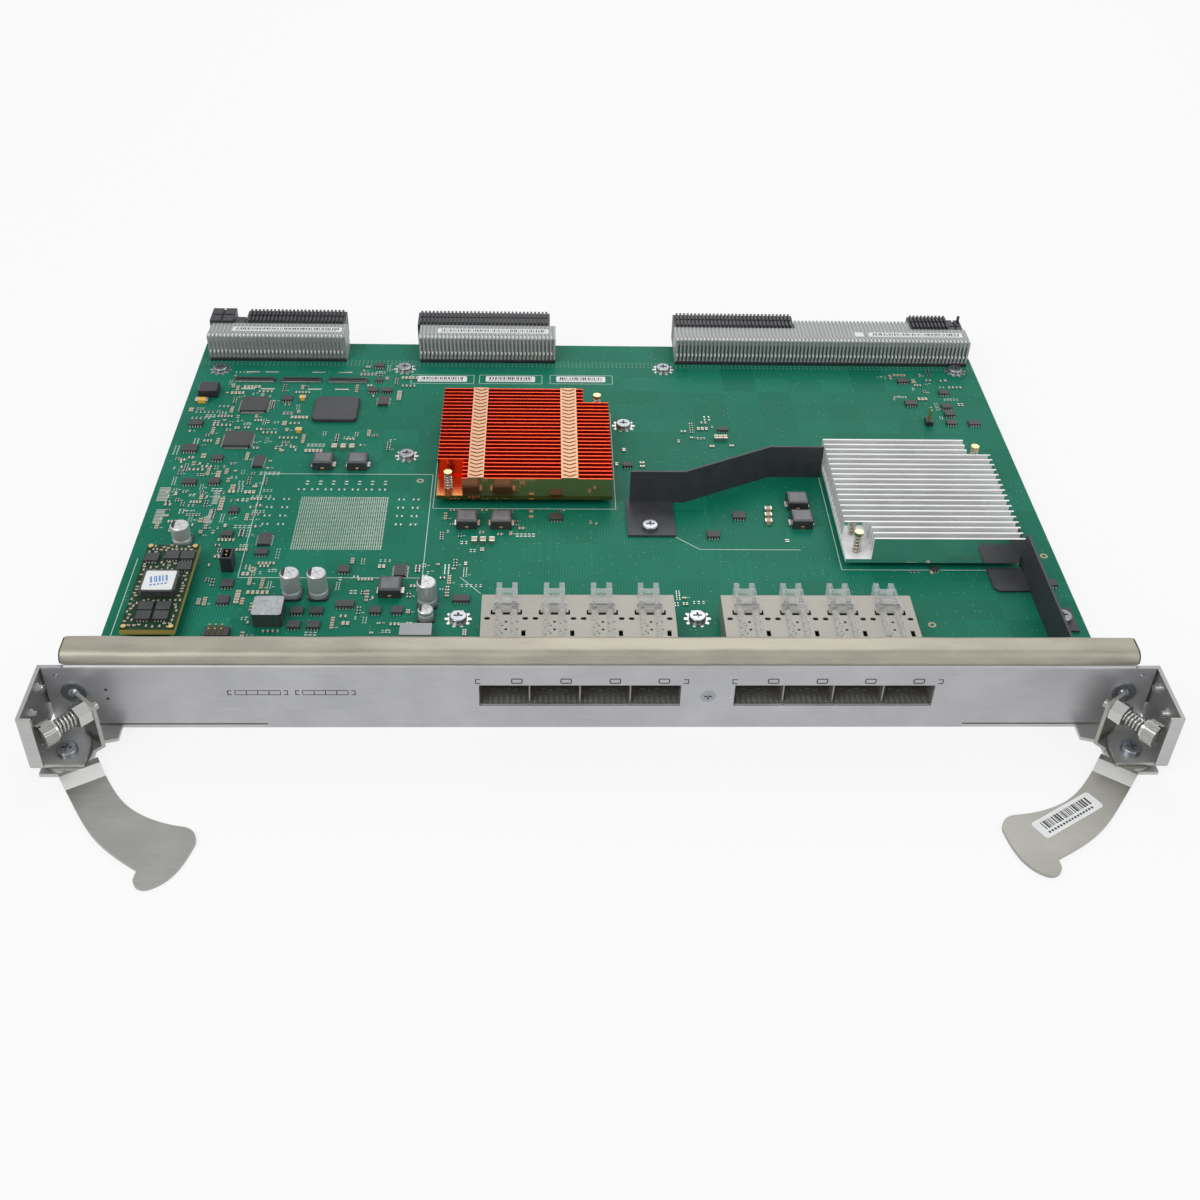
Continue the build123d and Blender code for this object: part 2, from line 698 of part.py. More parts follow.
# Clear light pipes: two bars for each bay, from the board behind the cage to the panel
pipe_wide = 2.2
pipe_thick = 1.8
pipe_spread = 3.2
pipe_back = 60.4
pipe_low = board_top + cage_tall
pipe_foot = board_top + 1.0
window_shift = 5.5
with BuildPart() as light_pipes:
    for x in bay_centres:
        for spread in (-pipe_spread, pipe_spread):
            lens_x = x + window_shift + spread / 3
            bar_x = x + spread
            with BuildSketch(Plane.XY.offset(pipe_low)):
                with BuildLine():
                    Polyline(
                        (lens_x - pipe_wide / 3, board_front),
                        (lens_x + pipe_wide / 3, board_front),
                        (bar_x + pipe_wide / 2, flange_deep),
                        (bar_x + pipe_wide / 2, pipe_back),
                        (bar_x - pipe_wide / 2, pipe_back),
                        (bar_x - pipe_wide / 2, flange_deep),
                        close=True,
                    )
                make_face()
            extrude(amount=pipe_thick)
            with Locations((bar_x, pipe_back, pipe_foot)):
                Box(
                    pipe_wide, pipe_wide, pipe_low - pipe_foot + pipe_thick,
                    align=(Align.CENTER, Align.MAX, Align.MIN),
                )
            with Locations((lens_x, board_front, pipe_low)):
                Box(pipe_wide * 2 / 3, pipe_wide, 2 * pipe_thick, align=(Align.CENTER, Align.MIN, Align.MIN))
        with Locations((x, cage_back - 1.5, pipe_low)):
            Box(4 * pipe_wide, 5.5, pipe_thick * 1.4, align=(Align.CENTER, Align.CENTER, Align.MIN))
        with Locations((x, cage_back - 7.5, pipe_low)):
            Box(4.6 * pipe_wide, 4.0, pipe_thick * 1.3, align=(Align.CENTER, Align.CENTER, Align.MIN))
light_pipes.part.label = "light_pipes"
export_step(light_pipes.part, "parts/light_pipes.step")

# Backplane connectors. Grey wafer blocks, with a ridge for each wafer
wafer_blocks = [(-198.4, -127.4), (-89.4, -18.4), (44.6, 200.2)]
long_wafers = (109.0, 171.0)
long_wafer_back = wafer_back + 6.6
with BuildPart() as connector_wafers:
    for x0, x1 in wafer_blocks:
        ridge_count = round((x1 - x0) / wafer_pitch)
        with Locations(((x0 + x1) / 2, wafer_front, board_top)):
            Box(x1 - x0, wafer_back - wafer_front, wafer_tall, align=(Align.CENTER, Align.MIN, Align.MIN))
        with Locations(((x0 + x1) / 2, wafer_front - ridge_proud, board_top + ridge_wide)):
            with GridLocations(wafer_pitch, 1, ridge_count, 1):
                Box(
                    ridge_wide,
                    (wafer_back - wafer_front) / 3,
                    wafer_tall - ridge_wide + ridge_proud,
                    align=(Align.CENTER, Align.MIN, Align.MIN),
                )
    long_count = round((long_wafers[1] - long_wafers[0]) / wafer_pitch)
    long_mid = (long_wafers[0] + long_wafers[1]) / 2
    with Locations((long_mid, wafer_back, board_top)):
        Box(
            long_wafers[1] - long_wafers[0], long_wafer_back - wafer_back, wafer_tall,
            align=(Align.CENTER, Align.MIN, Align.MIN),
        )
    with Locations((long_mid, long_wafer_back, board_top)):
        with GridLocations(wafer_pitch, 1, long_count, 1):
            Box(ridge_wide, wafer_pitch, wafer_tall, align=(Align.CENTER, Align.MIN, Align.MIN))
connector_wafers.part.label = "connector_wafers"
export_step(connector_wafers.part, "parts/connector_wafers.step")

# Black comb housings behind the wafers
comb_blocks = [(-181.0, -129.2), (-91.0, -21.4), (44.6, 108.6), (171.3, 192.4)]
comb_rows = ((0.6, 5.2), (6.6, 12.9))
with BuildPart() as connector_housings:
    for x0, x1 in comb_blocks:
        tooth_count = int((x1 - x0) / wafer_pitch)
        with Locations(((x0 + x1) / 2, wafer_back, board_top)):
            Box(x1 - x0, housing_back - wafer_back, wafer_tall, align=(Align.CENTER, Align.MIN, Align.MIN))
        for near, far in comb_rows:
            with Locations(((x0 + x1) / 2, wafer_back + near, board_top + wafer_tall)):
                with GridLocations(wafer_pitch, 1, tooth_count, 1):
                    Box(ridge_wide, far - near, tooth_proud, align=(Align.CENTER, Align.MIN, Align.MIN))
connector_housings.part.label = "connector_housings"
export_step(connector_housings.part, "parts/connector_housings.step")

# Guide blocks at the outer ends, with the bore that takes the chassis guide pin
guide_ends = [(-199.4, -187.2, wafer_tall + tooth_proud), (192.8, 200.2, wafer_tall - 1.6)]
step_block = (-186.8, -181.4)
guide_post = (199.2, 1.2, 3.0)
with BuildPart() as guide_blocks:
    for x0, x1, guide_tall in guide_ends:
        with Locations(((x0 + x1) / 2, wafer_back, board_top)):
            Box(x1 - x0, housing_back - wafer_back, guide_tall, align=(Align.CENTER, Align.MIN, Align.MIN))
        with Locations(((x0 + x1) / 2, (wafer_back + housing_back) / 2, board_top + guide_tall)):
            Box(ridge_wide, housing_back - wafer_back, ridge_wide * 2, mode=Mode.SUBTRACT)
            Box(x1 - x0, ridge_wide, ridge_wide * 2, mode=Mode.SUBTRACT)
        with Locations(
            Plane(origin=((x0 + x1) / 2, housing_back, board_top + guide_tall / 2), z_dir=(0, 1, 0))
        ):
            Hole(guide_bore, depth=guide_bore_deep)
    with Locations(((step_block[0] + step_block[1]) / 2, wafer_back, board_top)):
        Box(
            step_block[1] - step_block[0], (housing_back - wafer_back) / 2, wafer_tall,
            align=(Align.CENTER, Align.MIN, Align.MIN),
        )
    post_x, post_side, post_tall = guide_post
    with Locations((post_x, housing_back - post_side, board_top + guide_ends[1][2])):
        Box(post_side, post_side, post_tall, align=(Align.CENTER, Align.CENTER, Align.MIN))
guide_blocks.part.label = "guide_blocks"
export_step(guide_blocks.part, "parts/guide_blocks.step")


def sink_plan(x0, x1, y0, y1, front_notch, back_notch):
    """Plan of a finned block with its front left and back right corners cut away for the pins."""
    with Locations(((x0 + x1) / 2, (y0 + y1) / 2)):
        Rectangle(x1 - x0, y1 - y0)
    with Locations((x0 + front_notch[0] / 2, y0 + front_notch[1] / 2)):
        Rectangle(*front_notch, mode=Mode.SUBTRACT)
    with Locations((x1 - back_notch[0] / 2, y1 - back_notch[1] / 2)):
        Rectangle(*back_notch, mode=Mode.SUBTRACT)


# Copper heat sink: base plate, fin stack on a thin floor, and the two interlocked tab strips
copper_mid = ((copper_left + copper_right) / 2, (copper_front + copper_back) / 2)
fin_floor = copper_low + sink_base
with BuildPart() as copper_base:
    with BuildSketch(Plane.XY.offset(copper_low)):
        with Locations(copper_mid):
            Rectangle(copper_right - copper_left, copper_back - copper_front)
        with Locations(*pin_spots[:2]):
            Circle(pin_hole, mode=Mode.SUBTRACT)
    extrude(amount=sink_base)
copper_base.part.label = "copper_base"
export_step(copper_base.part, "parts/copper_base.step")

copper_pitch = (copper_back - copper_front - copper_fin) / (copper_fin_count - 1)
with BuildPart() as copper_fins:
    with BuildSketch(Plane.XY.offset(fin_floor)):
        with Locations(copper_mid):
            with GridLocations(1, copper_pitch, 1, copper_fin_count):
                Rectangle(copper_right - copper_left, copper_fin)
        sink_cut = (copper_notch_x, copper_notch_y)
        with Locations((copper_left + sink_cut[0] / 2, copper_front + sink_cut[1] / 2)):
            Rectangle(*sink_cut, mode=Mode.SUBTRACT)
        with Locations((copper_right - copper_back_notch / 2, copper_back - copper_back_notch / 2)):
            Rectangle(copper_back_notch, copper_back_notch, mode=Mode.SUBTRACT)
    extrude(amount=copper_high - fin_floor)
    with BuildSketch(Plane.XY.offset(fin_floor)):
        sink_plan(
            copper_left, copper_right, copper_front, copper_back,
            (copper_notch_x, copper_notch_y), (copper_back_notch, copper_back_notch),
        )
    extrude(amount=copper_fin)
copper_fins.part.label = "copper_fins"
export_step(copper_fins.part, "parts/copper_fins.step")

tab_long = copper_pitch - copper_fin
with BuildPart() as copper_tabs:
    for x0, x1 in (tab_strip_left, tab_strip_right):
        with Locations(((x0 + x1) / 2, copper_mid[1], copper_high)):
            Box(
                x1 - x0, copper_back - copper_front, tab_strip_thick,
                align=(Align.CENTER, Align.CENTER, Align.MIN),
            )
            with GridLocations(1, copper_pitch, 1, copper_fin_count - 1):
                Box(
                    x1 - x0, tab_long * 0.8, tab_strip_thick * 2,
                    align=(Align.CENTER, Align.CENTER, Align.MAX),
                )
copper_tabs.part.label = "copper_tabs"
export_step(copper_tabs.part, "parts/copper_tabs.step")

# Aluminium heat sink: base and fins in one piece
aluminium_mid = ((aluminium_left + aluminium_right) / 2, (aluminium_front + aluminium_back) / 2)
aluminium_deep = aluminium_back - aluminium_front
aluminium_pitch = (aluminium_deep - aluminium_fin) / (aluminium_fin_count - 1)
with BuildPart() as aluminium_sink:
    with BuildSketch(Plane.XY.offset(aluminium_low)):
        with Locations(aluminium_mid):
            Rectangle(aluminium_right - aluminium_left, aluminium_deep)
    extrude(amount=sink_base)
    with BuildSketch(Plane.XY.offset(aluminium_low + sink_base)):
        with Locations(aluminium_mid):
            with GridLocations(1, aluminium_pitch, 1, aluminium_fin_count):
                Rectangle(aluminium_right - aluminium_left, aluminium_fin)
        with Locations((aluminium_left + aluminium_notch_x / 2, aluminium_front + aluminium_notch_y / 2)):
            Rectangle(aluminium_notch_x, aluminium_notch_y, mode=Mode.SUBTRACT)
        with Locations(
            (aluminium_right - aluminium_back_notch_x / 2, aluminium_back - aluminium_back_notch_y / 2)
        ):
            Rectangle(aluminium_back_notch_x, aluminium_back_notch_y, mode=Mode.SUBTRACT)
    extrude(amount=aluminium_high - aluminium_low - sink_base)
    with Locations(*[(x, y, aluminium_low + sink_base) for x, y in pin_spots[2:]]):
        Hole(pin_hole, depth=sink_base)
aluminium_sink.part.label = "aluminium_sink"
export_step(aluminium_sink.part, "parts/aluminium_sink.step")

# Chip packages and thermal pads between the board and the two sinks
with BuildPart() as sink_chips:
    for middle, size, low in (
        (copper_mid, copper_chip, copper_low),
        (aluminium_mid, aluminium_chip, aluminium_low),
    ):
        with Locations((*middle, board_top)):
            Box(size, size, low - pad_thick - board_top, align=(Align.CENTER, Align.CENTER, Align.MIN))
sink_chips.part.label = "sink_chips"
export_step(sink_chips.part, "parts/sink_chips.step")

pad_inset = 1.0
with BuildPart() as thermal_pads:
    for middle, size, low in (
        (copper_mid, copper_chip, copper_low),
        (aluminium_mid, aluminium_chip, aluminium_low),
    ):
        with Locations((*middle, low)):
            Box(
                size - 2 * pad_inset, size - 2 * pad_inset, pad_thick,
                align=(Align.CENTER, Align.CENTER, Align.MAX),
            )
thermal_pads.part.label = "thermal_pads"
export_step(thermal_pads.part, "parts/thermal_pads.step")

# Push pins that pull the sinks down, with a barb under the board, and their springs
barb_radius = 1.7
barb_tall = 1.4
with BuildPart() as sink_pins:
    for (x, y), top in zip(pin_spots, pin_tops):
        with BuildSketch(Plane.XY.offset(board_bottom - barb_tall)):
            with Locations((x, y)):
                Circle(barb_radius)
        extrude(amount=barb_tall)
        with BuildSketch(Plane.XY.offset(board_bottom)):
            with Locations((x, y)):
                Circle(pin_radius)
        extrude(amount=top - board_bottom)
        with BuildSketch(Plane.XY.offset(top - pin_head_tall)):
            with Locations((x, y)):
                Circle(pin_head_radius)
        extrude(amount=pin_head_tall)
sink_pins.part.label = "sink_pins"
export_step(sink_pins.part, "parts/sink_pins.step")

pin_wire = 0.3
pin_coil = 1.55
pin_turns = 5
with BuildPart() as sink_springs:
    for (x, y), floor, top in zip(pin_spots, pin_floors, pin_tops):
        coil_low = floor + sink_base + pin_wire
        coil_long = top - pin_head_tall - pin_wire - coil_low
        with BuildLine(Plane(origin=(x, y, coil_low))) as coil:
            Helix(pitch=coil_long / pin_turns, height=coil_long, radius=pin_coil)
        with BuildSketch(Plane(origin=coil.line @ 0, z_dir=coil.line % 0)):
            Circle(pin_wire)
        sweep(path=coil.line, is_frenet=True)
sink_springs.part.label = "sink_springs"
export_step(sink_springs.part, "parts/sink_springs.step")

# Black air baffles
baffle_end = aluminium_left - 0.7
with BuildPart() as centre_baffle:
    with BuildSketch(Plane.XY.offset(board_top)):
        with Locations((24.2, 122.4)):
            Rectangle(21.4, 26.8)
        with Locations(baffle_screw_spots[0]):
            Circle(screw_bore, mode=Mode.SUBTRACT)
    extrude(amount=baffle_sheet)
    with BuildSketch(Plane.XY.offset(board_top)):
        with BuildLine() as baffle_line:
            Polyline((15.2, 136.0), (40.0, 136.0), (81.5, 157.0), (baffle_end, 157.0))
        trace(line_width=baffle_sheet)
    extrude(amount=baffle_tall)
centre_baffle.part.label = "centre_baffle"
export_step(centre_baffle.part, "parts/centre_baffle.step")

right_wall_x = aluminium_right + 1.6
right_foot_x = 199.3
with BuildPart() as right_baffle:
    with BuildSketch(Plane.XY.offset(board_top)):
        with BuildLine():
            Polyline(
                (right_wall_x, 70.4), (172, 70.4), (169.8, 72.6), (169.8, 86.4), (right_wall_x, 86.4),
                close=True,
            )
        make_face()
        with Locations(((right_wall_x + right_foot_x) / 2, 51.5)):
            Rectangle(right_foot_x - right_wall_x, 15.0)
        with Locations(baffle_screw_spots[1]):
            Circle(screw_bore, mode=Mode.SUBTRACT)
    extrude(amount=baffle_sheet)
    with BuildSketch(Plane.XY.offset(board_top)):
        with Locations((right_wall_x, (flange_deep + aluminium_front + 3) / 2)):
            Rectangle(baffle_sheet, aluminium_front + 3 - flange_deep)
    extrude(amount=baffle_tall)
right_baffle.part.label = "right_baffle"
export_step(right_baffle.part, "parts/right_baffle.step")

with BuildPart() as baffle_screws:
    with Locations(*[(x, y, board_top + baffle_sheet) for x, y in baffle_screw_spots]):
        Cylinder(screw_head_radius, screw_head_tall, align=(Align.CENTER, Align.CENTER, Align.MIN))
    fillet(baffle_screws.edges().group_by(Axis.Z)[-1], screw_head_tall / 3)
    with Locations(*[(x, y, board_top + baffle_sheet) for x, y in baffle_screw_spots]):
        Cylinder(
            screw_shank, board_thick + baffle_sheet + 1.5, align=(Align.CENTER, Align.CENTER, Align.MAX)
        )
    with Locations(*[(x, y, board_top + baffle_sheet + screw_head_tall) for x, y in baffle_screw_spots]):
        cross_cut(screw_head_radius, screw_head_tall / 2)
baffle_screws.part.label = "baffle_screws"
export_step(baffle_screws.part, "parts/baffle_screws.step")

# Power module: a small board on pins, with its core and chips
module_mid = (-183.2, 65.3)
module_wide = 22.0
module_deep = 56.4
module_low = board_top + 4.1
module_thick = 2.4
with BuildPart() as power_module_board:
    with BuildSketch(Plane.XY.offset(module_low)):
        with Locations(module_mid):
            Rectangle(module_wide, module_deep)
    extrude(amount=module_thick)
power_module_board.part.label = "power_module_board"
export_step(power_module_board.part, "parts/power_module_board.step")

module_top = module_low + module_thick
core_size = 14.5
core_tall = 3.8
with BuildPart() as power_module_core:
    with Locations((-183.0, 64.2, module_top)):
        Box(core_size, core_size, core_tall, align=(Align.CENTER, Align.CENTER, Align.MIN))
    chamfer(power_module_core.edges().filter_by(Axis.Z), 1.0)
power_module_core.part.label = "power_module_core"
export_step(power_module_core.part, "parts/power_module_core.step")

module_chip_spots = [
    (-190.4, 83.4), (-182.0, 84.8), (-175.6, 84.8), (-175.6, 77.4),
    (-186.1, 51.0), (-179.0, 51.0), (-185.9, 45.0), (-178.9, 45.0),
]
module_chip = (5.8, 5.2, 1.4)
with BuildPart() as power_module_chips:
    with Locations(*[(x, y, module_top) for x, y in module_chip_spots]):
        Box(*module_chip, align=(Align.CENTER, Align.CENTER, Align.MIN))
power_module_chips.part.label = "power_module_chips"
export_step(power_module_chips.part, "parts/power_module_chips.step")

module_pin_radius = 0.9
with BuildPart() as power_module_pins:
    with Locations((*module_mid, board_top)):
        with GridLocations(module_wide - 4.4, module_deep - 4.4, 2, 2):
            Cylinder(
                module_pin_radius, module_low - board_top, align=(Align.CENTER, Align.CENTER, Align.MIN)
            )
power_module_pins.part.label = "power_module_pins"
export_step(power_module_pins.part, "parts/power_module_pins.step")

# Electrolytic capacitors: (x, y, can radius, height over the board)
capacitor_spots = [
    (-182.4, 103.2, 4.0, 10.2),
    (-129.9, 67.2, 4.0, 12.5),
    (-118.7, 67.2, 4.0, 12.5),
    (-72.8, 61.9, 4.0, 12.0),
    (-72.8, 52.0, 3.2, 5.6),
]
can_foot = 1.0
foot_proud = 0.3
with BuildPart() as capacitor_bases:
    for x, y, radius, tall in capacitor_spots:
        with BuildSketch(Plane.XY.offset(board_top)) as foot_sketch:
            with Locations((x, y)):
                Rectangle(2 * (radius + foot_proud), 2 * (radius + foot_proud))
            chamfer(foot_sketch.vertices().group_by(Axis.Y)[0], radius / 3)
        extrude(amount=can_foot)
capacitor_bases.part.label = "capacitor_bases"
export_step(capacitor_bases.part, "parts/capacitor_bases.step")

groove_up = 2.6
groove_deep = 0.35
with BuildPart() as capacitor_cans:
    for x, y, radius, tall in capacitor_spots:
        base_z = board_top + can_foot
        with BuildSketch(Plane(origin=(x, y, base_z), x_dir=(1, 0, 0), z_dir=(0, -1, 0))):
            with BuildLine():
                Polyline(
                    (0, 0), (radius, 0), (radius, groove_up - 0.8), (radius - groove_deep, groove_up),
                    (radius, groove_up + 0.8), (radius, tall - can_foot - 0.5),
                    (radius - 0.5, tall - can_foot), (0, tall - can_foot),
                    close=True,
                )
            make_face()
        revolve(axis=Axis((x, y, 0), (0, 0, 1)))
capacitor_cans.part.label = "capacitor_cans"
export_step(capacitor_cans.part, "parts/capacitor_cans.step")


def blocks(spots, height, floor=board_top):
    """Boxes that stand on the floor at each (x, y, length along X, length along Y)."""
    for x, y, long_x, long_y in spots:
        with Locations((x, y, floor)):
            Box(long_x, long_y, height, align=(Align.CENTER, Align.CENTER, Align.MIN))


# Chokes and filters
silver_spot = [(-137.2, 52.4, 12.2, 12.2)]
with BuildPart() as silver_choke:
    blocks(silver_spot, 6.8)
    chamfer(silver_choke.edges().filter_by(Axis.Z), 0.8)
silver_choke.part.label = "silver_choke"
export_step(silver_choke.part, "parts/silver_choke.step")

choke_spots = [
    (-128.2, 164.5, 9.4, 9.2), (-112.0, 164.5, 9.4, 9.2), (-58.6, 118.6, 9.4, 9.2), (-43.3, 118.6, 9.4, 9.2),
    (-88.9, 70.1, 9.6, 9.6), (92.4, 134.0, 9.4, 9.2), (92.7, 119.8, 9.4, 9.2),
]
choke_tall = 4.6
foot_slot = 2.4
with BuildPart() as black_chokes:
    blocks(choke_spots, choke_tall)
    chamfer(black_chokes.edges().group_by(Axis.Z)[-1], 0.4)
    for x, y, long_x, long_y in choke_spots:
        with Locations((x, y - long_y / 2, board_top)):
            Box(foot_slot, 1.2, foot_slot, align=(Align.CENTER, Align.CENTER, Align.MIN), mode=Mode.SUBTRACT)
black_chokes.part.label = "black_chokes"
export_step(black_chokes.part, "parts/black_chokes.step")

with BuildPart() as grey_filter_block:
    blocks([(-76.0, 39.8, 13.0, 7.4)], 5.0)
grey_filter_block.part.label = "grey_filter_block"
export_step(grey_filter_block.part, "parts/grey_filter_block.step")

# Chips
with BuildPart() as logic_chip:
    blocks([(-127.6, 212.2, 22.0, 21.0)], 2.2)
    chamfer(logic_chip.edges().filter_by(Axis.Z), 1.6)
    chamfer(logic_chip.edges().group_by(Axis.Z)[-1], 0.5)
logic_chip.part.label = "logic_chip"
export_step(logic_chip.part, "parts/logic_chip.step")

quad_spots = [(-168.5, 216.3, 13.0, 12.6), (-171.6, 184.7, 13.0, 12.6)]
with BuildPart() as quad_chips:
    blocks(quad_spots, 1.6)
    chamfer(quad_chips.edges().filter_by(Axis.Z), 0.9)
quad_chips.part.label = "quad_chips"
export_step(quad_chips.part, "parts/quad_chips.step")

small_chip_spots = [
    (-153, 222.6, 5, 4.6), (-105, 221.1, 5, 8), (-111, 231.1, 5, 3.4), (-104, 231.1, 5, 3.4),
    (-109, 241.1, 3.6, 3), (-110, 255.6, 5, 3.2), (-159, 166.1, 4.4, 9), (-178.6, 169, 5, 4),
    (-193, 177, 7, 5.6), (-194.2, 199, 6.4, 4), (-188, 149.1, 6.2, 4), (-176.6, 149.6, 5, 4),
    (-164, 127.1, 4.2, 4), (-164, 109.1, 5, 4), (-158, 74.1, 5, 5), (-158, 63.1, 5, 5),
    (-147, 105.1, 5.4, 8), (-147, 96.1, 5.4, 4), (-107, 60.6, 7.4, 4), (-110, 84.1, 5, 4.4),
    (-85.8, 83.3, 5, 7.6), (-94, 56.6, 4.6, 4), (-85, 56.6, 4.6, 4), (-126.3, 56.2, 5.2, 4),
    (-118.3, 56.2, 5.2, 4), (-126.5, 47.1, 5.2, 4), (-118.5, 47.1, 5.2, 4), (-58.8, 64.4, 7, 4),
    (-18.7, 122.8, 5.6, 4.6), (51.7, 110.1, 5.6, 4.6), (64.7, 124.5, 5.6, 4.6), (195.4, 75.7, 5.6, 4),
    (162.9, 244.2, 6, 3.4), (162.9, 222.6, 6, 4.2), (182, 233, 5, 4), (180.6, 219.6, 5, 4),
    (180.6, 212.6, 5, 4), (179.8, 204.3, 5, 4), (191.2, 204, 5.6, 4), (64, 196.6, 5, 2.6),
]
with BuildPart() as small_chips:
    blocks(small_chip_spots, 1.4)
small_chips.part.label = "small_chips"
export_step(small_chips.part, "parts/small_chips.step")

strip_spots = [(-171.9, 240.6, 20.0, 3.4), (-148.4, 240.6, 20.0, 3.4), (-124.8, 240.6, 20.0, 3.4)]
strip_tall = 1.4
with BuildPart() as strip_connectors:
    blocks(strip_spots, strip_tall)
    for x, y, long_x, long_y in strip_spots:
        with Locations((x, y, board_top + strip_tall)):
            Box(long_x - 2, 1.0, strip_tall, mode=Mode.SUBTRACT)
strip_connectors.part.label = "strip_connectors"
export_step(strip_connectors.part, "parts/strip_connectors.step")

# Pin headers: one walled, the others low with bare pins, as (x, y, length along X, length along Y)
walled_spot = [(-159.5, 86.2, 5.0, 7.4)]
walled_tall = 7.6
walled_rim = 1.6
bare_spots = [(-156.7, 41.3, 10.0, 5.6), (168.4, 204.6, 3.4, 5.4)]
bare_tall = 2.5
with BuildPart() as header_blocks:
    blocks(walled_spot, walled_tall)
    for x, y, long_x, long_y in walled_spot:
        with Locations((x, y, board_top + walled_tall)):
            Box(long_x - walled_rim, long_y - walled_rim, walled_tall * 1.5, mode=Mode.SUBTRACT)
    blocks(bare_spots, bare_tall)
header_blocks.part.label = "header_blocks"
export_step(header_blocks.part, "parts/header_blocks.step")

pin_side = 0.64
pin_pitch = 2.54
pin_sets = [
    (walled_spot[0], walled_tall / 4, 6.0, 1),
    (bare_spots[0], bare_tall, 2.4, 3),
    (bare_spots[1], bare_tall, 6.0, 1),
]
with BuildPart() as header_pins:
    for (x, y, long_x, long_y), pin_low, pin_long, columns in pin_sets:
        with Locations((x, y, board_top + pin_low)):
            with GridLocations(pin_pitch, pin_pitch, columns, 2):
                Box(pin_side, pin_side, pin_long, align=(Align.CENTER, Align.CENTER, Align.MIN))
header_pins.part.label = "header_pins"
export_step(header_pins.part, "parts/header_pins.step")

with BuildPart() as corner_relay:
    blocks([(-192.8, 228.0, 9.6, 8.4)], 4.6)
    chamfer(corner_relay.edges().group_by(Axis.Z)[-1], 0.5)
corner_relay.part.label = "corner_relay"
export_step(corner_relay.part, "parts/corner_relay.step")

# Larger ceramic and tantalum capacitors
ceramic_spots = [
    (-124.7, 178.6, 2.5, 3.2), (-120.5, 178.6, 2.5, 3.2), (-116.3, 178.6, 2.5, 3.2),
    (-54.9, 104.8, 2.5, 3.2), (-51.0, 104.8, 2.5, 3.2), (-47.1, 104.8, 2.5, 3.2),
    (78.6, 129.2, 3.2, 2.5), (78.1, 124.5, 3.2, 2.5), (77.7, 119.8, 3.2, 2.5),
    (60.1, 188.6, 2.0, 3.0), (62.3, 188.6, 2.0, 3.0), (64.5, 188.6, 2.0, 3.0),
]
with BuildPart() as ceramic_parts:
    blocks(ceramic_spots, 1.9)
ceramic_parts.part.label = "ceramic_parts"
export_step(ceramic_parts.part, "parts/ceramic_parts.step")

tantalum_spots = [(-145.5, 223.0, 3.2, 2.6), (-143.6, 193.2, 3.2, 2.6), (-195.2, 220.0, 6.2, 3.2)]
with BuildPart() as tantalum_parts:
    blocks(tantalum_spots, 1.8)
tantalum_parts.part.label = "tantalum_parts"
export_step(tantalum_parts.part, "parts/tantalum_parts.step")
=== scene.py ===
# %% [markdown]
# # A switch core blade, dressed for its portrait
# The frame comes first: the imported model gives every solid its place, in metres, and each
# step below adds a finish or a small part to it. Sizes are written in millimetres, because
# that is how a board is drawn, and are turned into metres when a mesh is made.

# %% Load the frame
import json
import bpy
import numpy as np
from mathutils import Matrix, Vector


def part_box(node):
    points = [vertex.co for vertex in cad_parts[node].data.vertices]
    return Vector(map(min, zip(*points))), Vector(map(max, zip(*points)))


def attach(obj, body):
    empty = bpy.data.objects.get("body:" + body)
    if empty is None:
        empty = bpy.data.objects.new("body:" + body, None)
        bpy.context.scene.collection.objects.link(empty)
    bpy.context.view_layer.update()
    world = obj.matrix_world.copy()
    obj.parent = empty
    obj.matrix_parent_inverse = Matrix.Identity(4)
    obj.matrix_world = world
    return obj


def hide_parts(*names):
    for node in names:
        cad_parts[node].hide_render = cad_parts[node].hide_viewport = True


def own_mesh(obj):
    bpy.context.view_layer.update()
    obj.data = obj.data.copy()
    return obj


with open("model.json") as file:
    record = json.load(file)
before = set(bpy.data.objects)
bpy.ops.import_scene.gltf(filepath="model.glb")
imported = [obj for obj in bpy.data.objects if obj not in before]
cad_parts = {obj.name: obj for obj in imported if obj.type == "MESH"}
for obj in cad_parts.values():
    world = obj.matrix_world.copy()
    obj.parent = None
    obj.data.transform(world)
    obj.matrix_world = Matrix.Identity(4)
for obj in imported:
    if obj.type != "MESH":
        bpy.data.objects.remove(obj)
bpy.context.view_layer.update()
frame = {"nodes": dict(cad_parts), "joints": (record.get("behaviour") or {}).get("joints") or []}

MM = 0.001
BOARD = 10.9
BLADE = "blade"

# %% [markdown]
# ## The camera
# The photograph was taken from in front, a little to the left, looking down. The lens and
# the place come from lines on the board and panel whose real lengths are known: a camera
# that puts them all in the right spot is the right camera.

# %% Camera
PITCH, YAW, ROLL = 0.68743, -0.04882, -0.033386
LENS = 43.63
STAND = np.array([-23.51, -410.2, 401.15])


def camera_axes(pitch, yaw, roll):
    """Right and down axes of a camera: level axes turned by the yaw, tipped down by the
    pitch, then turned about the line of sight by the roll."""
    right = np.array([np.cos(yaw), np.sin(yaw), 0])
    level = np.array([-np.sin(yaw), np.cos(yaw), 0])
    up = np.array([0, 0, 1])
    sight = np.cos(pitch) * level - np.sin(pitch) * up
    down = -np.sin(pitch) * level - np.cos(pitch) * up
    return np.cos(roll) * right + np.sin(roll) * down, -np.sin(roll) * right + np.cos(roll) * down, sight


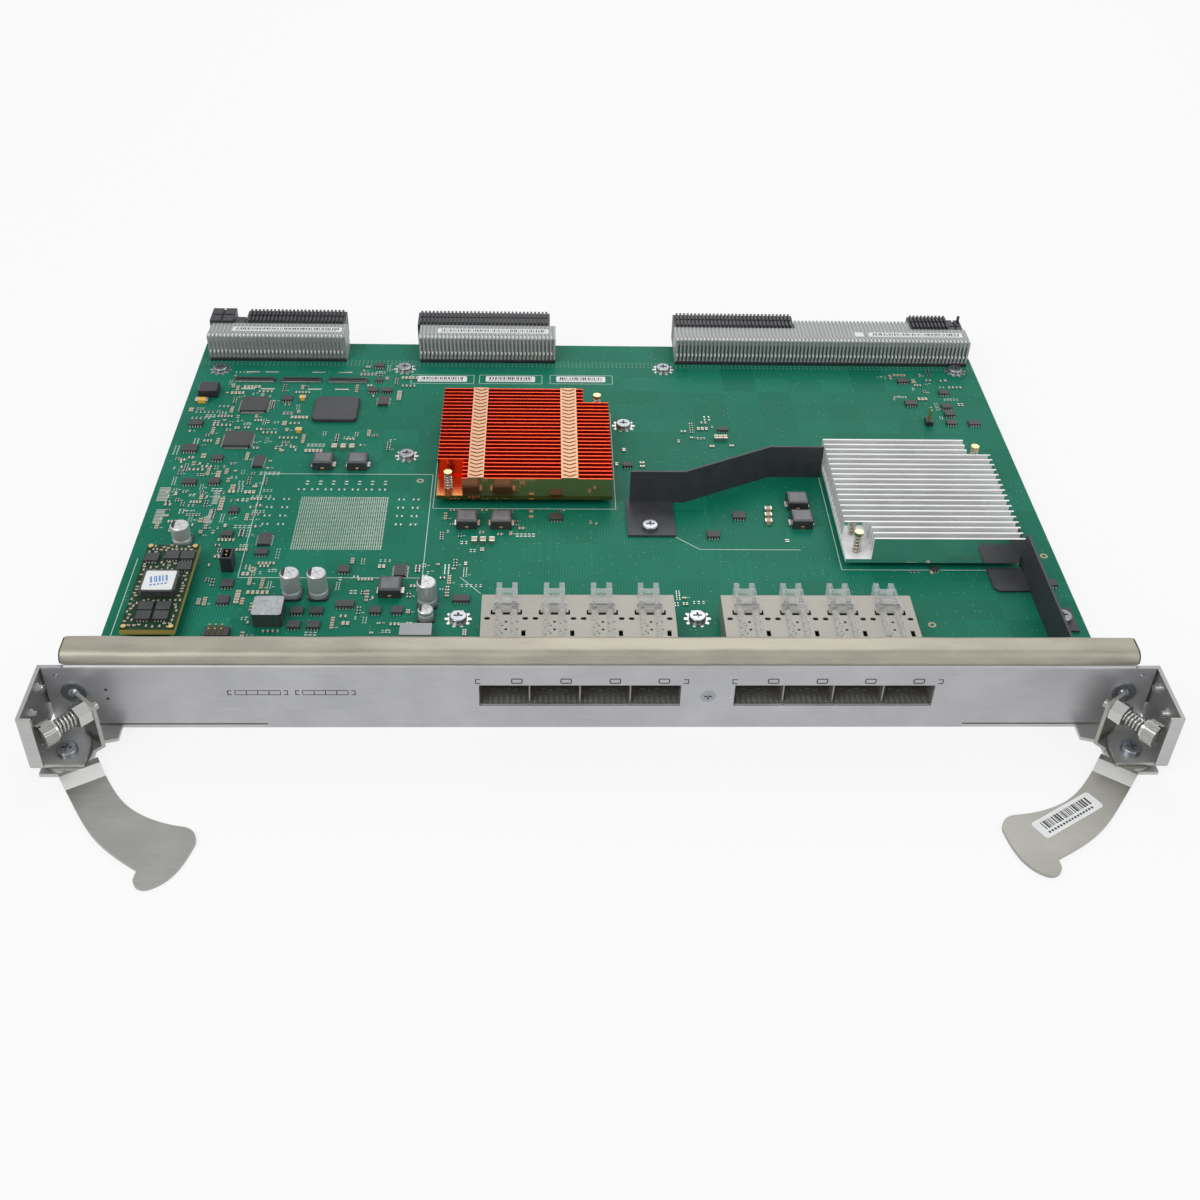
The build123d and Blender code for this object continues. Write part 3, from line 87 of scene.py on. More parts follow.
side, down, sight = camera_axes(PITCH, YAW, ROLL)
camera = bpy.data.objects.new("photo_camera", bpy.data.cameras.new("photo_camera"))
camera.data.lens = LENS
camera.data.sensor_width = 36
camera.data.clip_start = 0.02
placed = np.eye(4)
placed[:3, 0], placed[:3, 1], placed[:3, 2], placed[:3, 3] = side, -down, -sight, STAND * MM
camera.matrix_world = Matrix(placed.tolist())
bpy.context.scene.collection.objects.link(camera)
bpy.context.scene.camera = camera
print("camera looks along", np.round(sight, 3))

# %% [markdown]
# ## Shader sums as Python
# A material is a graph of nodes, but most of its nodes are plain sums. `Wire` wraps one
# socket, so that `1 - mask` or `mask * 0.4` adds the Math node by itself, and
# `Finish.add` makes every other kind of node from its type, settings and inputs.

# %% Wires and finishes


def math_method(operation, mirrored=False):
    """A method that adds one Math node. Mirrored puts the wire itself last, as 1 - wire does."""

    def method(self, *others):
        terms = (*others, self) if mirrored else (self, *others)
        return self.graph.add("ShaderNodeMath", {"operation": operation}, terms)

    return method


class Wire:
    """One output socket. Arithmetic on it adds Math nodes; numbers alone stay in Python."""

    def __init__(self, graph, socket):
        self.graph = graph
        self.socket = socket

    __add__, __radd__ = math_method("ADD"), math_method("ADD", True)
    __sub__, __rsub__ = math_method("SUBTRACT"), math_method("SUBTRACT", True)
    __mul__, __rmul__ = math_method("MULTIPLY"), math_method("MULTIPLY", True)
    __truediv__, __abs__ = math_method("DIVIDE"), math_method("ABSOLUTE")
    __gt__, __lt__ = math_method("GREATER_THAN"), math_method("LESS_THAN")
    fract, floor = math_method("FRACT"), math_method("FLOOR")
    most, times_plus = math_method("MAXIMUM"), math_method("MULTIPLY_ADD")


class Graph:
    """A tree of nodes, and the one method that makes any node in it."""

    def __init__(self, tree):
        self.tree = tree

    def add(self, kind, settings=None, inputs=(), output=0):
        """One node: settings first, then each input as a value or a wire."""
        node = self.tree.nodes.new(kind)
        for key, value in (settings or {}).items():
            setattr(node, key, value)
        pairs = inputs.items() if isinstance(inputs, dict) else enumerate(inputs)
        for key, value in pairs:
            if isinstance(value, Wire):
                self.tree.links.new(value.socket, node.inputs[key])
            else:
                node.inputs[key].default_value = value
        return Wire(self, node.outputs[output])

    def parts(self, vector):
        """X, Y and Z of a vector as three wires."""
        split = self.add("ShaderNodeSeparateXYZ", inputs=[vector])
        return [Wire(self, socket) for socket in split.socket.node.outputs]

    def seen(self):
        """1 for rays that come from the camera, off a mirror or through glass, else 0. The
        first wire is for the camera alone, the second for all three."""
        path = self.add("ShaderNodeLightPath").socket.node.outputs
        rays = [Wire(self, path[f"Is {kind} Ray"]) for kind in ("Camera", "Glossy", "Transmission")]
        return rays[0], rays[0].most(rays[1]).most(rays[2])

    def end_in(self, output, share, first, second):
        """Sends a mix of two shaders to the tree's output node."""
        both = self.add("ShaderNodeMixShader", None, [share, first, second])
        self.tree.links.new(both.socket, self.tree.nodes[output].inputs["Surface"])


looks = {}


class Finish(Graph):
    """A material: its node tree, its main shader, and short names for the nodes in use."""

    def __init__(self, name, rough=0.5, metal=0.0, coat=0.0):
        self.material = looks[name] = bpy.data.materials.new(name)
        self.material.use_nodes = True
        super().__init__(self.material.node_tree)
        self.shader = self.tree.nodes["Principled BSDF"]
        self.feed(Roughness=rough, Metallic=metal, Coat_Weight=coat)

    def point(self, stretch=(1, 1, 1), turn=0.0):
        """Object coordinates in millimetres, stretched and turned about Z."""
        here = self.add("ShaderNodeTexCoord", output="Object")
        scale = tuple(1000 * s for s in stretch)
        inputs = {"Vector": here, "Rotation": (0, 0, turn), "Scale": scale}
        return self.add("ShaderNodeMapping", {"vector_type": "POINT"}, inputs)

    def axes(self):
        """X, Y and Z of the point as three wires, in millimetres."""
        return self.parts(self.point())

    def facing(self):
        """How far the surface faces along X, Y and Z, each from -1 to 1."""
        return self.parts(self.add("ShaderNodeTexCoord", output="Normal"))

    def noise(self, size, detail=3.0, stretch=(1, 1, 1), turn=0.0):
        """Soft cloud from 0 to 1 whose lumps are about size millimetres across."""
        where = self.point(stretch, turn)
        inputs = {"Vector": where, "Scale": 1 / size, "Detail": detail, "Roughness": 0.55}
        return self.add("ShaderNodeTexNoise", None, inputs)

    def remap(self, wire, low, high, out_low=0.0, out_high=1.0):
        """Straight line from (low, out_low) to (high, out_high), held flat past both ends."""
        return self.add("ShaderNodeMapRange", None, [wire, low, high, out_low, out_high])

    def mix(self, share, first, second):
        """Colour that goes from first to second as share goes from 0 to 1."""
        inputs = {0: share, 6: colour(first), 7: colour(second)}
        return self.add("ShaderNodeMix", {"data_type": "RGBA"}, inputs, output=2)

    def feed(self, **sockets):
        """Wires or values for the main shader; underscores in a name stand for spaces."""
        for name, value in sockets.items():
            socket = self.shader.inputs[name.replace("_", " ")]
            if isinstance(value, Wire):
                self.tree.links.new(value.socket, socket)
            else:
                socket.default_value = value
        return self

    def bump(self, height, depth, strength=1.0):
        """Turns a height wire into surface relief that is depth millimetres tall."""
        inputs = {"Strength": strength, "Distance": depth * MM, "Height": height}
        return self.feed(Normal=self.add("ShaderNodeBump", None, inputs))


def colour(value):
    """Adds the alpha that a colour socket wants, and lets wires through."""
    if isinstance(value, Wire) or len(value) == 4:
        return value
    return (*value, 1.0)


# %% [markdown]
# ## Sheet metal
# The panel, brackets, levers and cages are plated steel. Plated sheet is never one grey: the
# rolling leaves fine lines, handling leaves a cloud of duller patches, and both show more in
# the roughness than in the colour. One function makes all of them, with the grain's
# direction and strength as its arguments.

# %% Metals


def sheet_metal(name, tone, rough, grain=0.35, metal=0.9, turn=0.0, wear=0.5, slope_sheen=0.0):
    """Grain is noise stretched forty to one along the rolling direction; cloud is soft noise.
    The last argument is a painted highlight: how far the sheet is mixed towards pale grey where
    it slopes, as on the joggle of a lever, to stand for the sky that such a slope reflects."""
    finish = Finish(name, rough, metal)
    lines = finish.noise(0.35, 2, (0.025, 1, 1), turn)
    cloud = finish.noise(22, 4)
    specks = finish.noise(1.1, 2)
    dark = tuple(0.80 * t for t in tone)
    light = tuple(min(1.0, 1.06 * t) for t in tone)
    sheet = finish.mix(finish.remap(cloud * 0.6 + lines * 0.4, 0.3, 0.7), dark, light)
    # Painted highlight: faces that slope, neither flat nor upright, are mixed towards pale grey as if lit by
    # the sky
    upward = finish.facing()[2]
    painted_sheen_mask = (upward > 0.55) * (upward < 0.97) * slope_sheen
    finish.feed(Base_Color=finish.mix(painted_sheen_mask, sheet, (0.88, 0.88, 0.87)))
    scuff = finish.remap(specks, 0.55, 0.8) * wear
    dull = lines * grain + cloud * 0.5 + scuff * 0.3
    finish.feed(Roughness=finish.remap(dull, 0.1, 0.9, rough - 0.10, rough + 0.14))
    finish.bump(lines * grain + scuff * 0.2, 0.03, 0.35)


# Tone, roughness, grain, metalness, and for the levers the grain's turn, wear and the painted highlight on
# slopes
METALS = {
    "panel_steel": ((0.50, 0.50, 0.515), 0.44, 0.2, 0.6),
    "pan_steel": ((0.56, 0.56, 0.55), 0.40, 0.4, 0.7),
    "lever_left_steel": ((0.41, 0.41, 0.39), 0.34, 0.3, 0.9, 1.1, 0.8, 0.8),
    "lever_right_steel": ((0.41, 0.40, 0.37), 0.34, 0.3, 0.9, -1.1, 0.8, 0.6),
    "bracket_steel": ((0.50, 0.50, 0.49), 0.34, 0.3),
    "cage_steel": ((0.36, 0.345, 0.305), 0.48, 0.25, 0.5),
    "bright_steel": ((0.60, 0.60, 0.59), 0.14, 0.15),
    "tinned": ((0.60, 0.59, 0.55), 0.34, 0.1),
    "gold_plate": ((0.85, 0.62, 0.25), 0.25, 0.1),
    "pin_brass": ((0.78, 0.60, 0.32), 0.26, 0.3),
    "can_aluminium": ((0.66, 0.66, 0.67), 0.42, 0.2, 0.6),
    "choke_metal": ((0.30, 0.31, 0.31), 0.42, 0.2, 0.4),
    "knob_steel": ((0.40, 0.40, 0.38), 0.28, 0.2),
    "screw_zinc": ((0.36, 0.38, 0.41), 0.24, 0.2),
}
for name, values in METALS.items():
    sheet_metal(name, *values)
print("metals made:", len(looks))

# %% [markdown]
# ## The two heat sinks
# Copper takes its depth from light that bounces between the fins, so a modest base colour
# goes a long way. The top edges are sheared and paler. The aluminium sink's front fin is as
# smooth as a mirror and shows the board, while the tops are milled.

# %% Heat sink finishes


def copper_finish(name, tone, rough, outer=-1000.0):
    """Copper with a cloud of tarnish and fine shear lines along the fins. What faces the front
    before y = outer is a bare paler plate, which mirrors the board without a red cast."""
    finish = Finish(name, rough, 0.94)
    cloud = finish.noise(16, 4)
    lines = finish.noise(0.5, 2, (0.03, 1, 1))
    shade = finish.remap(cloud * 0.7 + lines * 0.3, 0.3, 0.7)
    front = finish.remap(finish.facing()[1] * -1, 0.8, 0.95)
    plate = front * (finish.axes()[1] < outer)
    tarnished = finish.mix(shade, tuple(0.78 * t for t in tone), tone)
    finish.feed(Base_Color=finish.mix(plate, tarnished, (0.90, 0.42, 0.22)))
    worn = finish.remap(lines + cloud, 0.6, 1.4, rough - 0.08, rough + 0.12)
    finish.feed(Roughness=worn * (1 - front * 0.7))
    finish.bump(lines, 0.03, 0.3)


def milled_aluminium(name, tone):
    """Smooth and mirror-like where the surface faces the front, milled and paler elsewhere."""
    finish = Finish(name, 0.35, 0.5)
    front = finish.remap(finish.facing()[1] * -1, 0.8, 0.95)
    lines = finish.noise(0.4, 2, (0.03, 1, 1))
    cloud = finish.noise(14, 3)
    shade = finish.remap(cloud * 0.6 + lines * 0.4, 0.3, 0.7)
    finish.feed(Base_Color=finish.mix(shade, tuple(0.88 * t for t in tone), tone))
    finish.feed(Roughness=finish.remap(front, 0, 1, 0.38, 0.08) + lines * 0.06)
    finish.feed(Metallic=finish.remap(front, 0, 1, 0.04, 0.95))
    finish.bump(lines, 0.02, 0.3)


first_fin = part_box("copper_fins")[0].y / MM
copper_finish("copper_fin", (0.97, 0.085, 0.025), 0.30, first_fin + 0.3)
copper_finish("copper_plate", (0.60, 0.24, 0.08), 0.22)
copper_finish("copper_tab", (0.64, 0.39, 0.24), 0.42)
# Dark copper for the chevrons: painted shade in the slits between the tabs
copper_finish("copper_shade", (0.16, 0.035, 0.015), 0.5)
milled_aluminium("sink_aluminium", (0.97, 0.97, 0.965))

# %% [markdown]
# ## Plastics
# Moulded black plastic looks flat in a render unless its skin has a little texture. A fine
# noise in the bump and a slow one in the roughness are enough. Clear acrylic is a shell with a
# faint flow in its skin.

# %% Plastics


def moulded(name, tone, rough=0.5, skin=0.35, coat=0.0, spread=0.25):
    """Even colour with a faint cloud, and a pebbled skin of fine bumps."""
    finish = Finish(name, rough, 0.0, coat)
    cloud = finish.noise(7, 3)
    pebble = finish.noise(0.35, 2)
    light = tuple(min(1.0, t * (1 + spread) + 0.004) for t in tone)
    finish.feed(Base_Color=finish.mix(finish.remap(cloud, 0.3, 0.7), tone, light))
    worn = finish.remap(cloud + pebble * 0.4, 0.4, 1.0, rough - 0.08, rough + 0.1)
    finish.feed(Roughness=worn)
    finish.bump(pebble, 0.03, skin)


def clear_acrylic(name):
    """Clear plastic a few millimetres thick: a shiny skin that lets most of the light straight
    through. Bars this thin hardly bend what is behind them, so a low alpha is enough."""
    finish = Finish(name, 0.06)
    flow = finish.noise(2.2, 3, (1, 0.3, 1))
    across, along, _ = finish.facing()
    finish.feed(Base_Color=finish.mix(flow, (0.78, 0.81, 0.82), (0.93, 0.95, 0.95)))
    finish.feed(Alpha=abs(across) * 0.30 + abs(along) * 0.50 + 0.10, IOR=1.49)
    finish.feed(Roughness=finish.remap(flow, 0.2, 0.8, 0.03, 0.12))
    finish.bump(flow, 0.02, 0.15)


# Tone, roughness, depth of the skin, coat, and how far the tone spreads
PLASTICS = {
    "housing_black": ((0.020, 0.021, 0.026), 0.42),
    "chip_black": ((0.030, 0.031, 0.033), 0.48, 0.35, 0.0, 0.5),
    "ferrite": ((0.036, 0.036, 0.038), 0.38, 0.35, 0.15),
    "plate_grey": ((0.085, 0.088, 0.094), 0.36, 0.35, 0.0, 0.9),
    "slot_shade": ((0.035, 0.060, 0.050), 0.5),
    "rib_grey": ((0.17, 0.17, 0.165), 0.45),
    "baffle_black": ((0.034, 0.035, 0.040), 0.50, 0.2),
    "foam_black": ((0.012, 0.012, 0.012), 0.9, 1.0),
    "pad_grey": ((0.50, 0.52, 0.56), 0.8),
    "label_white": ((0.80, 0.80, 0.79), 0.5, 0.1, 0.0, 0.05),
    "ink_white": ((0.62, 0.70, 0.64), 0.6, 0.1, 0.0, 0.1),
    "ink_black": ((0.015, 0.015, 0.016), 0.55, 0.1),
    "ink_blue": ((0.10, 0.22, 0.50), 0.5, 0.1),
    "ceramic": ((0.42, 0.31, 0.20), 0.4, 0.35, 0.0, 0.3),
    "resistor_black": ((0.035, 0.035, 0.04), 0.3),
    "tantalum": ((0.78, 0.42, 0.06), 0.45),
    "tip_white": ((0.66, 0.66, 0.64), 0.5),
}
for name, values in PLASTICS.items():
    moulded(name, *values)
clear_acrylic("light_pipe_acrylic")

# %% [markdown]
# ## The board's green
# Solder mask is a clear green lacquer over copper: where there is copper under it, it looks
# lighter. The board is cut into square patches, a random number for each patch picks the
# direction of its traces, and the traces themselves are stripes. Small dots on a grid are
# the vias.

# %% Solder mask
PATCH = (17.0, 13.0)
VIA_PITCH = 2.1


def stripes(wire, pitch, share):
    """1 on bands that repeat every pitch millimetres and fill that share of it, else 0."""
    return (abs((wire / pitch).fract() - 0.5)) < share / 2


def chance(finish, x, y, cell, output=1):
    """Random number or colour, the same over each rectangle of the cell's two sides."""
    corner = [(x / cell[0]).floor(), (y / cell[1]).floor(), 0.0]
    corner = finish.add("ShaderNodeCombineXYZ", None, corner)
    return finish.add("ShaderNodeTexWhiteNoise", {"noise_dimensions": "2D"}, [corner], output)


def between(wire, low, high):
    """1 while the wire is between the two values."""
    return (wire > low) * (wire < high)


def solder_mask(name, deep, light, bare, edge):
    """Green lacquer: patches of traces in three directions, vias, and cut edges."""
    finish = Finish(name, 0.40)
    x, y, _ = finish.axes()
    pick, keep, plane = finish.parts(chance(finish, x, y, PATCH))
    run_x = stripes(y, 0.95, 0.38) * (pick < 0.34)
    run_y = stripes(x, 0.95, 0.38) * (pick > 0.66)
    run_slant = stripes(x + y, 1.30, 0.36) * between(pick, 0.34, 0.66)
    field = (run_x + run_y + run_slant) * (keep > 0.52)
    fan = stripes(x, 1.25, 0.42) * between(y, 55, 128) * between(x, -48, 128)
    fan = fan * between(keep, 0.1, 0.9)
    rear = stripes(x, 1.0, 0.45) * (y > 232) * (keep > 0.25)
    bundle = stripes(x, 1.15, 0.4) * between(x, -171, -153) * between(y, 20, 66) * 2.2
    traces = field.most(fan).most(rear).most(bundle)
    hole_x = (x / VIA_PITCH).fract() - 0.5
    hole_y = (y / VIA_PITCH).fract() - 0.5
    ring = hole_x * hole_x + hole_y * hole_y
    dots = (ring < 0.020) * (chance(finish, x, y, (VIA_PITCH, VIA_PITCH), 0) > 0.94)
    row = (ring < 0.05) * between(y, 256, 262.5)
    plane_share = (plane > 0.62) * 0.10
    cloud = finish.noise(60, 3)
    top = finish.mix(traces * 0.34 + plane_share + cloud * 0.12, deep, light)
    top = finish.mix(dots.most(row) * 0.5, top, bare)
    facing = finish.facing()[2]
    finish.feed(Base_Color=finish.mix(abs(facing) > 0.5, edge, top))
    finish.feed(Roughness=finish.remap(cloud + traces * 0.3, 0.2, 1.0, 0.34, 0.46))
    finish.feed(Specular_IOR_Level=0.09)
    finish.bump(traces * 0.6 + dots, 0.03, 0.25)


def wafer_plastic(name):
    """Grey plates stood side by side: a pale and a darker stripe for every two millimetres."""
    finish = Finish(name, 0.42)
    x = finish.axes()[0]
    cloud = finish.noise(9, 3)
    share = stripes(x, 2.0, 0.5) * 0.6 + cloud * 0.3
    finish.feed(Base_Color=finish.mix(share, (0.235, 0.245, 0.24), (0.46, 0.47, 0.46)))
    finish.bump(share, 0.05, 0.2)


def choke_case(name):
    """A mottled pale lid over dark sides, split by how far the surface faces up."""
    finish = Finish(name, 0.38, 0.2)
    lid = finish.remap(finish.facing()[2], 0.5, 0.9)
    mottle = finish.remap(finish.noise(1.6, 4) * 0.6 + finish.noise(7, 3) * 0.4, 0.35, 0.65)
    top = finish.mix(mottle, (0.30, 0.32, 0.33), (0.52, 0.54, 0.55))
    finish.feed(Base_Color=finish.mix(lid, (0.055, 0.075, 0.068), top))
    finish.bump(mottle, 0.03, 0.2)


wafer_plastic("wafer_stripe")
choke_case("choke_grey")
# Deep and light lacquer, bare metal, and the cut edge
BOARD_GREENS = (0.004, 0.152, 0.090), (0.020, 0.255, 0.162), (0.30, 0.42, 0.31), (0.03, 0.30, 0.16)
MODULE_GREENS = (0.012, 0.045, 0.022), (0.05, 0.11, 0.06), (0.50, 0.46, 0.28), (0.50, 0.36, 0.09)
solder_mask("board_green", *BOARD_GREENS)
solder_mask("module_green", *MODULE_GREENS)

# %% Dress the solids
DRESS = {
    "board_green": "circuit_board",
    "module_green": "power_module_board",
    "panel_steel": "faceplate",
    "pan_steel": "stiffener_pan pan_standoffs screw_block",
    "bracket_steel": "left_end_bracket right_end_bracket",
    "lever_left_steel": "left_lever",
    "lever_right_steel": "right_lever",
    "cage_steel": "left_port_cage right_port_cage",
    "bright_steel": "bracket_studs left_ferrule right_ferrule left_screw_spring right_screw_spring "
                    "sink_springs left_spring_washer right_spring_washer",
    "screw_zinc": "board_screws panel_screw pivot_screws baffle_screws panel_inserts",
    "knob_steel": "left_thumbscrew right_thumbscrew",
    "housing_black": "port_connectors connector_housings guide_blocks strip_connectors "
                     "header_blocks capacitor_bases corner_relay",
    "wafer_stripe": "connector_wafers",
    "light_pipe_acrylic": "light_pipes",
    "copper_fin": "copper_fins",
    "copper_plate": "copper_base",
    "copper_tab": "copper_tabs",
    "sink_aluminium": "aluminium_sink",
    "pin_brass": "sink_pins power_module_pins",
    "gold_plate": "header_pins",
    "can_aluminium": "capacitor_cans",
    "choke_grey": "silver_choke",
    "choke_metal": "grey_filter_block",
    "ferrite": "black_chokes power_module_core",
    "chip_black": "sink_chips power_module_chips logic_chip quad_chips small_chips",
    "baffle_black": "centre_baffle right_baffle",
    "pad_grey": "thermal_pads",
    "foam_black": "gasket_foam",
    "ceramic": "ceramic_parts",
    "tantalum": "tantalum_parts",
}
for look, nodes in DRESS.items():
    for node in nodes.split():
        for slot in frame["nodes"][node].material_slots:
            slot.material = looks[look]
print("looks:", len(looks))

# %% [markdown]
# ## Tools for new pieces
# A board carries thousands of small things, and nearly all are one shape repeated. So each
# shape is a small table of corners, and all its copies are made in one array sum. A mesh
# made this way costs a few milliseconds for a thousand parts.

# %% Mesh tools


def piece(name, points, faces, look, body=BLADE, smooth=False):
    """Makes one object from points in millimetres and faces, and lets it ride on a body."""
    mesh = bpy.data.meshes.new(name)
    points = np.asarray(points, float).reshape(-1, 3) * MM
    mesh.from_pydata(points.tolist(), [], [list(f) for f in faces])
    mesh.materials.append(looks[look])
    mesh.polygons.foreach_set("use_smooth", np.full(len(mesh.polygons), smooth))
    mesh.update()
    made = bpy.data.objects.new(name, mesh)
    bpy.context.scene.collection.objects.link(made)
    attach(made, body)
    return made


def grid_faces(rows, cols, close_rows=False, close_cols=False):
    """Quads between neighbours of a rows by cols grid; closing joins the last to the first."""
    i = np.arange(rows if close_rows else rows - 1)[:, None]
    j = np.arange(cols if close_cols else cols - 1)[None, :]
    here, right = i * cols + j, i * cols + (j + 1) % cols
    up = ((i + 1) % rows) * cols
    return np.stack([here, right, up + (j + 1) % cols, up + j], -1).reshape(-1, 4)


SIGNS = np.array([[a, b, c] for a in (-1, 1) for b in (-1, 1) for c in (-1, 1)], float)


def eased_corners():
    """Table of a box with eased edges: three points per corner, each on one of its faces."""
    signs = np.repeat(SIGNS, 3, axis=0)
    inset = 1 - np.tile(np.eye(3), (8, 1))
    return signs, inset


def outward(points, faces):
    """Turns each face so that its normal points away from the middle."""
    turned = []
    for face in faces:
        ring = points[list(face)]
        normal = np.cross(ring[1] - ring[0], ring[2] - ring[0])
        turned.append(tuple(face) if normal @ ring.mean(0) > 0 else tuple(face[::-1]))
    return turned


def eased_faces():
    """Six faces, twelve eased edges and eight corner triangles, all facing outwards."""
    signs, inset = eased_corners()
    faces = []
    for axis in range(3):
        b, c = [a for a in range(3) if a != axis]
        for s in (-1, 1):
            ring = [k for k in range(8) if SIGNS[k, axis] == s]
            ring.sort(key=lambda k: np.arctan2(SIGNS[k, c], SIGNS[k, b]))
            faces.append([3 * k + axis for k in ring])
        for sb in (-1, 1):
            for sc in (-1, 1):
                low, high = [k for k in range(8) if SIGNS[k, b] == sb and SIGNS[k, c] == sc]
                faces.append([3 * low + b, 3 * high + b, 3 * high + c, 3 * low + c])
    faces += [[3 * k, 3 * k + 1, 3 * k + 2] for k in range(8)]
    return outward(signs * (1 - 0.2 * inset), faces)


EASED = eased_faces()
PLAIN = outward(SIGNS, [[0, 1, 3, 2], [4, 5, 7, 6], [0, 1, 5, 4], [2, 3, 7, 6], [0, 2, 6, 4], [1, 3, 7, 5]])


def spread(x, y, z):
    """Rows of x, y and z, where a single number stands for a whole column."""
    return np.column_stack(np.broadcast_arrays(x, y, z))


def turned(points, angle):
    """Turns points about Z by an angle in radians, one angle for each row of points."""
    cosine, sine = np.cos(angle)[:, None], np.sin(angle)[:, None]
    x, y, z = points[..., 0], points[..., 1], points[..., 2]
    return np.stack([x * cosine - y * sine, x * sine + y * cosine, z], -1)


def repeated(shapes, table):
    """Copies of one table of faces, one for each row of points in shapes."""
    step = shapes.shape[1]
    faces = [[int(v) + n * step for v in face] for n in range(len(shapes)) for face in table]
    return shapes.reshape(-1, 3), faces


def slab(rim, floor, thick):
    """A flat outline given thickness: the rim low and high, the wall between and two lids."""
    low = spread(rim[:, 0], rim[:, 1], floor)
    count = len(rim)
    table = grid_faces(2, count, False, True).tolist()
    table += [list(range(count))[::-1], list(range(count, 2 * count))]
    return np.concatenate([low, low + [0, 0, thick]]), table


def bricks(middles, sizes, ease=0.08, angle=0.0):
    """Many boxes at once: middle plus sign times half size, less the easing at the edges."""
    middles = np.asarray(middles, float).reshape(-1, 3)
    half = np.broadcast_to(np.asarray(sizes, float) / 2, middles.shape)
    signs, inset = eased_corners() if ease else (SIGNS, 0)
    shape = signs * (half[:, None] - ease * inset)
    angle = np.broadcast_to(np.asarray(angle, float), len(middles))
    return repeated(turned(shape, angle) + middles[:, None], EASED if ease else PLAIN)


def round_trip(sides):
    """Cosine and sine of evenly spaced turns, once round, as rows of two."""
    angle = np.linspace(0, 2 * np.pi, sides, endpoint=False)
    return np.stack([np.cos(angle), np.sin(angle)], -1)


def discs(middles, radius, thick, sides=12, inner=0.0):
    """Many discs or rings: each wall is a circle of points, low and high, closed on itself."""
    circle = round_trip(sides)
    loop, table = slab(circle * radius, 0.0, thick)
    if inner:
        hole = slab(circle * inner, 0.0, thick)[0].reshape(2, sides, 3)[::-1].reshape(-1, 3)
        loop = np.concatenate([loop, hole])
        table = grid_faces(4, sides, True, True)[:, ::-1]
    return repeated(loop + np.asarray(middles, float).reshape(-1, 1, 3), table)


def joined(*parts):
    """Puts several (points, faces) pairs into one."""
    points, faces, base = [], [], 0
    for more, table in parts:
        points.append(np.asarray(more, float).reshape(-1, 3))
        faces += [[v + base for v in face] for face in table]
        base += len(points[-1])
    return np.concatenate(points), faces


def solids(node):
    """Low and high corner of every separate solid in a CAD node, in millimetres. Points that
    share a place are one, and each face spreads its smallest label until none changes."""
    mesh = frame["nodes"][node].data
    place = np.empty(len(mesh.vertices) * 3)
    mesh.vertices.foreach_get("co", place)
    corner = np.empty(len(mesh.loops), int)
    mesh.loops.foreach_get("vertex_index", corner)
    spots, same = np.unique(np.round(place.reshape(-1, 3) / MM, 2), axis=0, return_inverse=True)
    faces = same.reshape(-1)[corner].reshape(-1, 3)
    label = np.arange(len(spots))
    while True:
        low = label[faces].min(1)
        fresh = label.copy()
        np.minimum.at(fresh, faces.ravel(), np.repeat(low, 3))
        if (fresh == label).all():
            break
        label = fresh
    return np.array([[spots[label == k].min(0), spots[label == k].max(0)] for k in np.unique(label)])


print("small chips on the board:", len(solids("small_chips")))

# %% [markdown]
# ## The gasket
# The strip on the top flange is soft foam in a sleeve of metallised cloth. The CAD has it as
# a plain rounded bar. Here the sleeve is its profile carried along the panel, and a slow
# wobble in its height and depth makes it look like something that gives. The weave is in
# the sleeve's own UV map, laid out in millimetres, so it follows the cloth round the bends.

# %% Gasket cloth


def woven(name, thread, gap):
    """Two families of slanted threads and a coarse ripstop grid, on the UV map."""
    finish = Finish(name, 0.42, 0.55)
    u, v, _ = finish.parts(finish.add("ShaderNodeUVMap", {"uv_map": "cloth"}))
    one = abs(((u + v) / 1.5).fract() - 0.5) * 2
    two = abs(((u - v) / 1.5).fract() - 0.5) * 2
    fine = abs((u / 0.55).fract() - 0.5) + abs((v / 0.55).fract() - 0.5)
    weave = one * 0.28 + two * 0.28 + fine * 0.35
    cloud = finish.noise(9, 4, (0.35, 1, 1))
    shade = finish.remap(weave * 0.6 + cloud * 0.7, 0.45, 1.05)
    finish.feed(Base_Color=finish.mix(shade, gap, thread))
    finish.feed(Roughness=finish.remap(cloud + weave * 0.3, 0.3, 1.1, 0.34, 0.52))
    finish.bump(weave + cloud * 0.6, 0.10, 0.55)


def rounded_section(y0, y1, z0, z1, front, back, steps=9):
    """Outline of the strip: up the front, round two quarter circles, and down the back."""
    sweep = np.linspace(0, np.pi / 2, steps)
    front_arc = np.stack([y0 + front - front * np.cos(sweep), z1 - front + front * np.sin(sweep)], -1)
    back_arc = np.stack([y1 - back + back * np.sin(sweep), z1 - back + back * np.cos(sweep)], -1)
    foot = np.array([[y0 + 0.2, z0], [y0, z0 + 0.25]])
    heel = np.array([[y1, z0 + 0.25], [y1 - 0.2, z0]])
    flat = np.linspace(y0 + front, y1 - back, 6)[1:-1]
    top = np.stack([flat, np.full(4, z1)], -1)
    return np.concatenate([foot, front_arc, top, back_arc, heel])


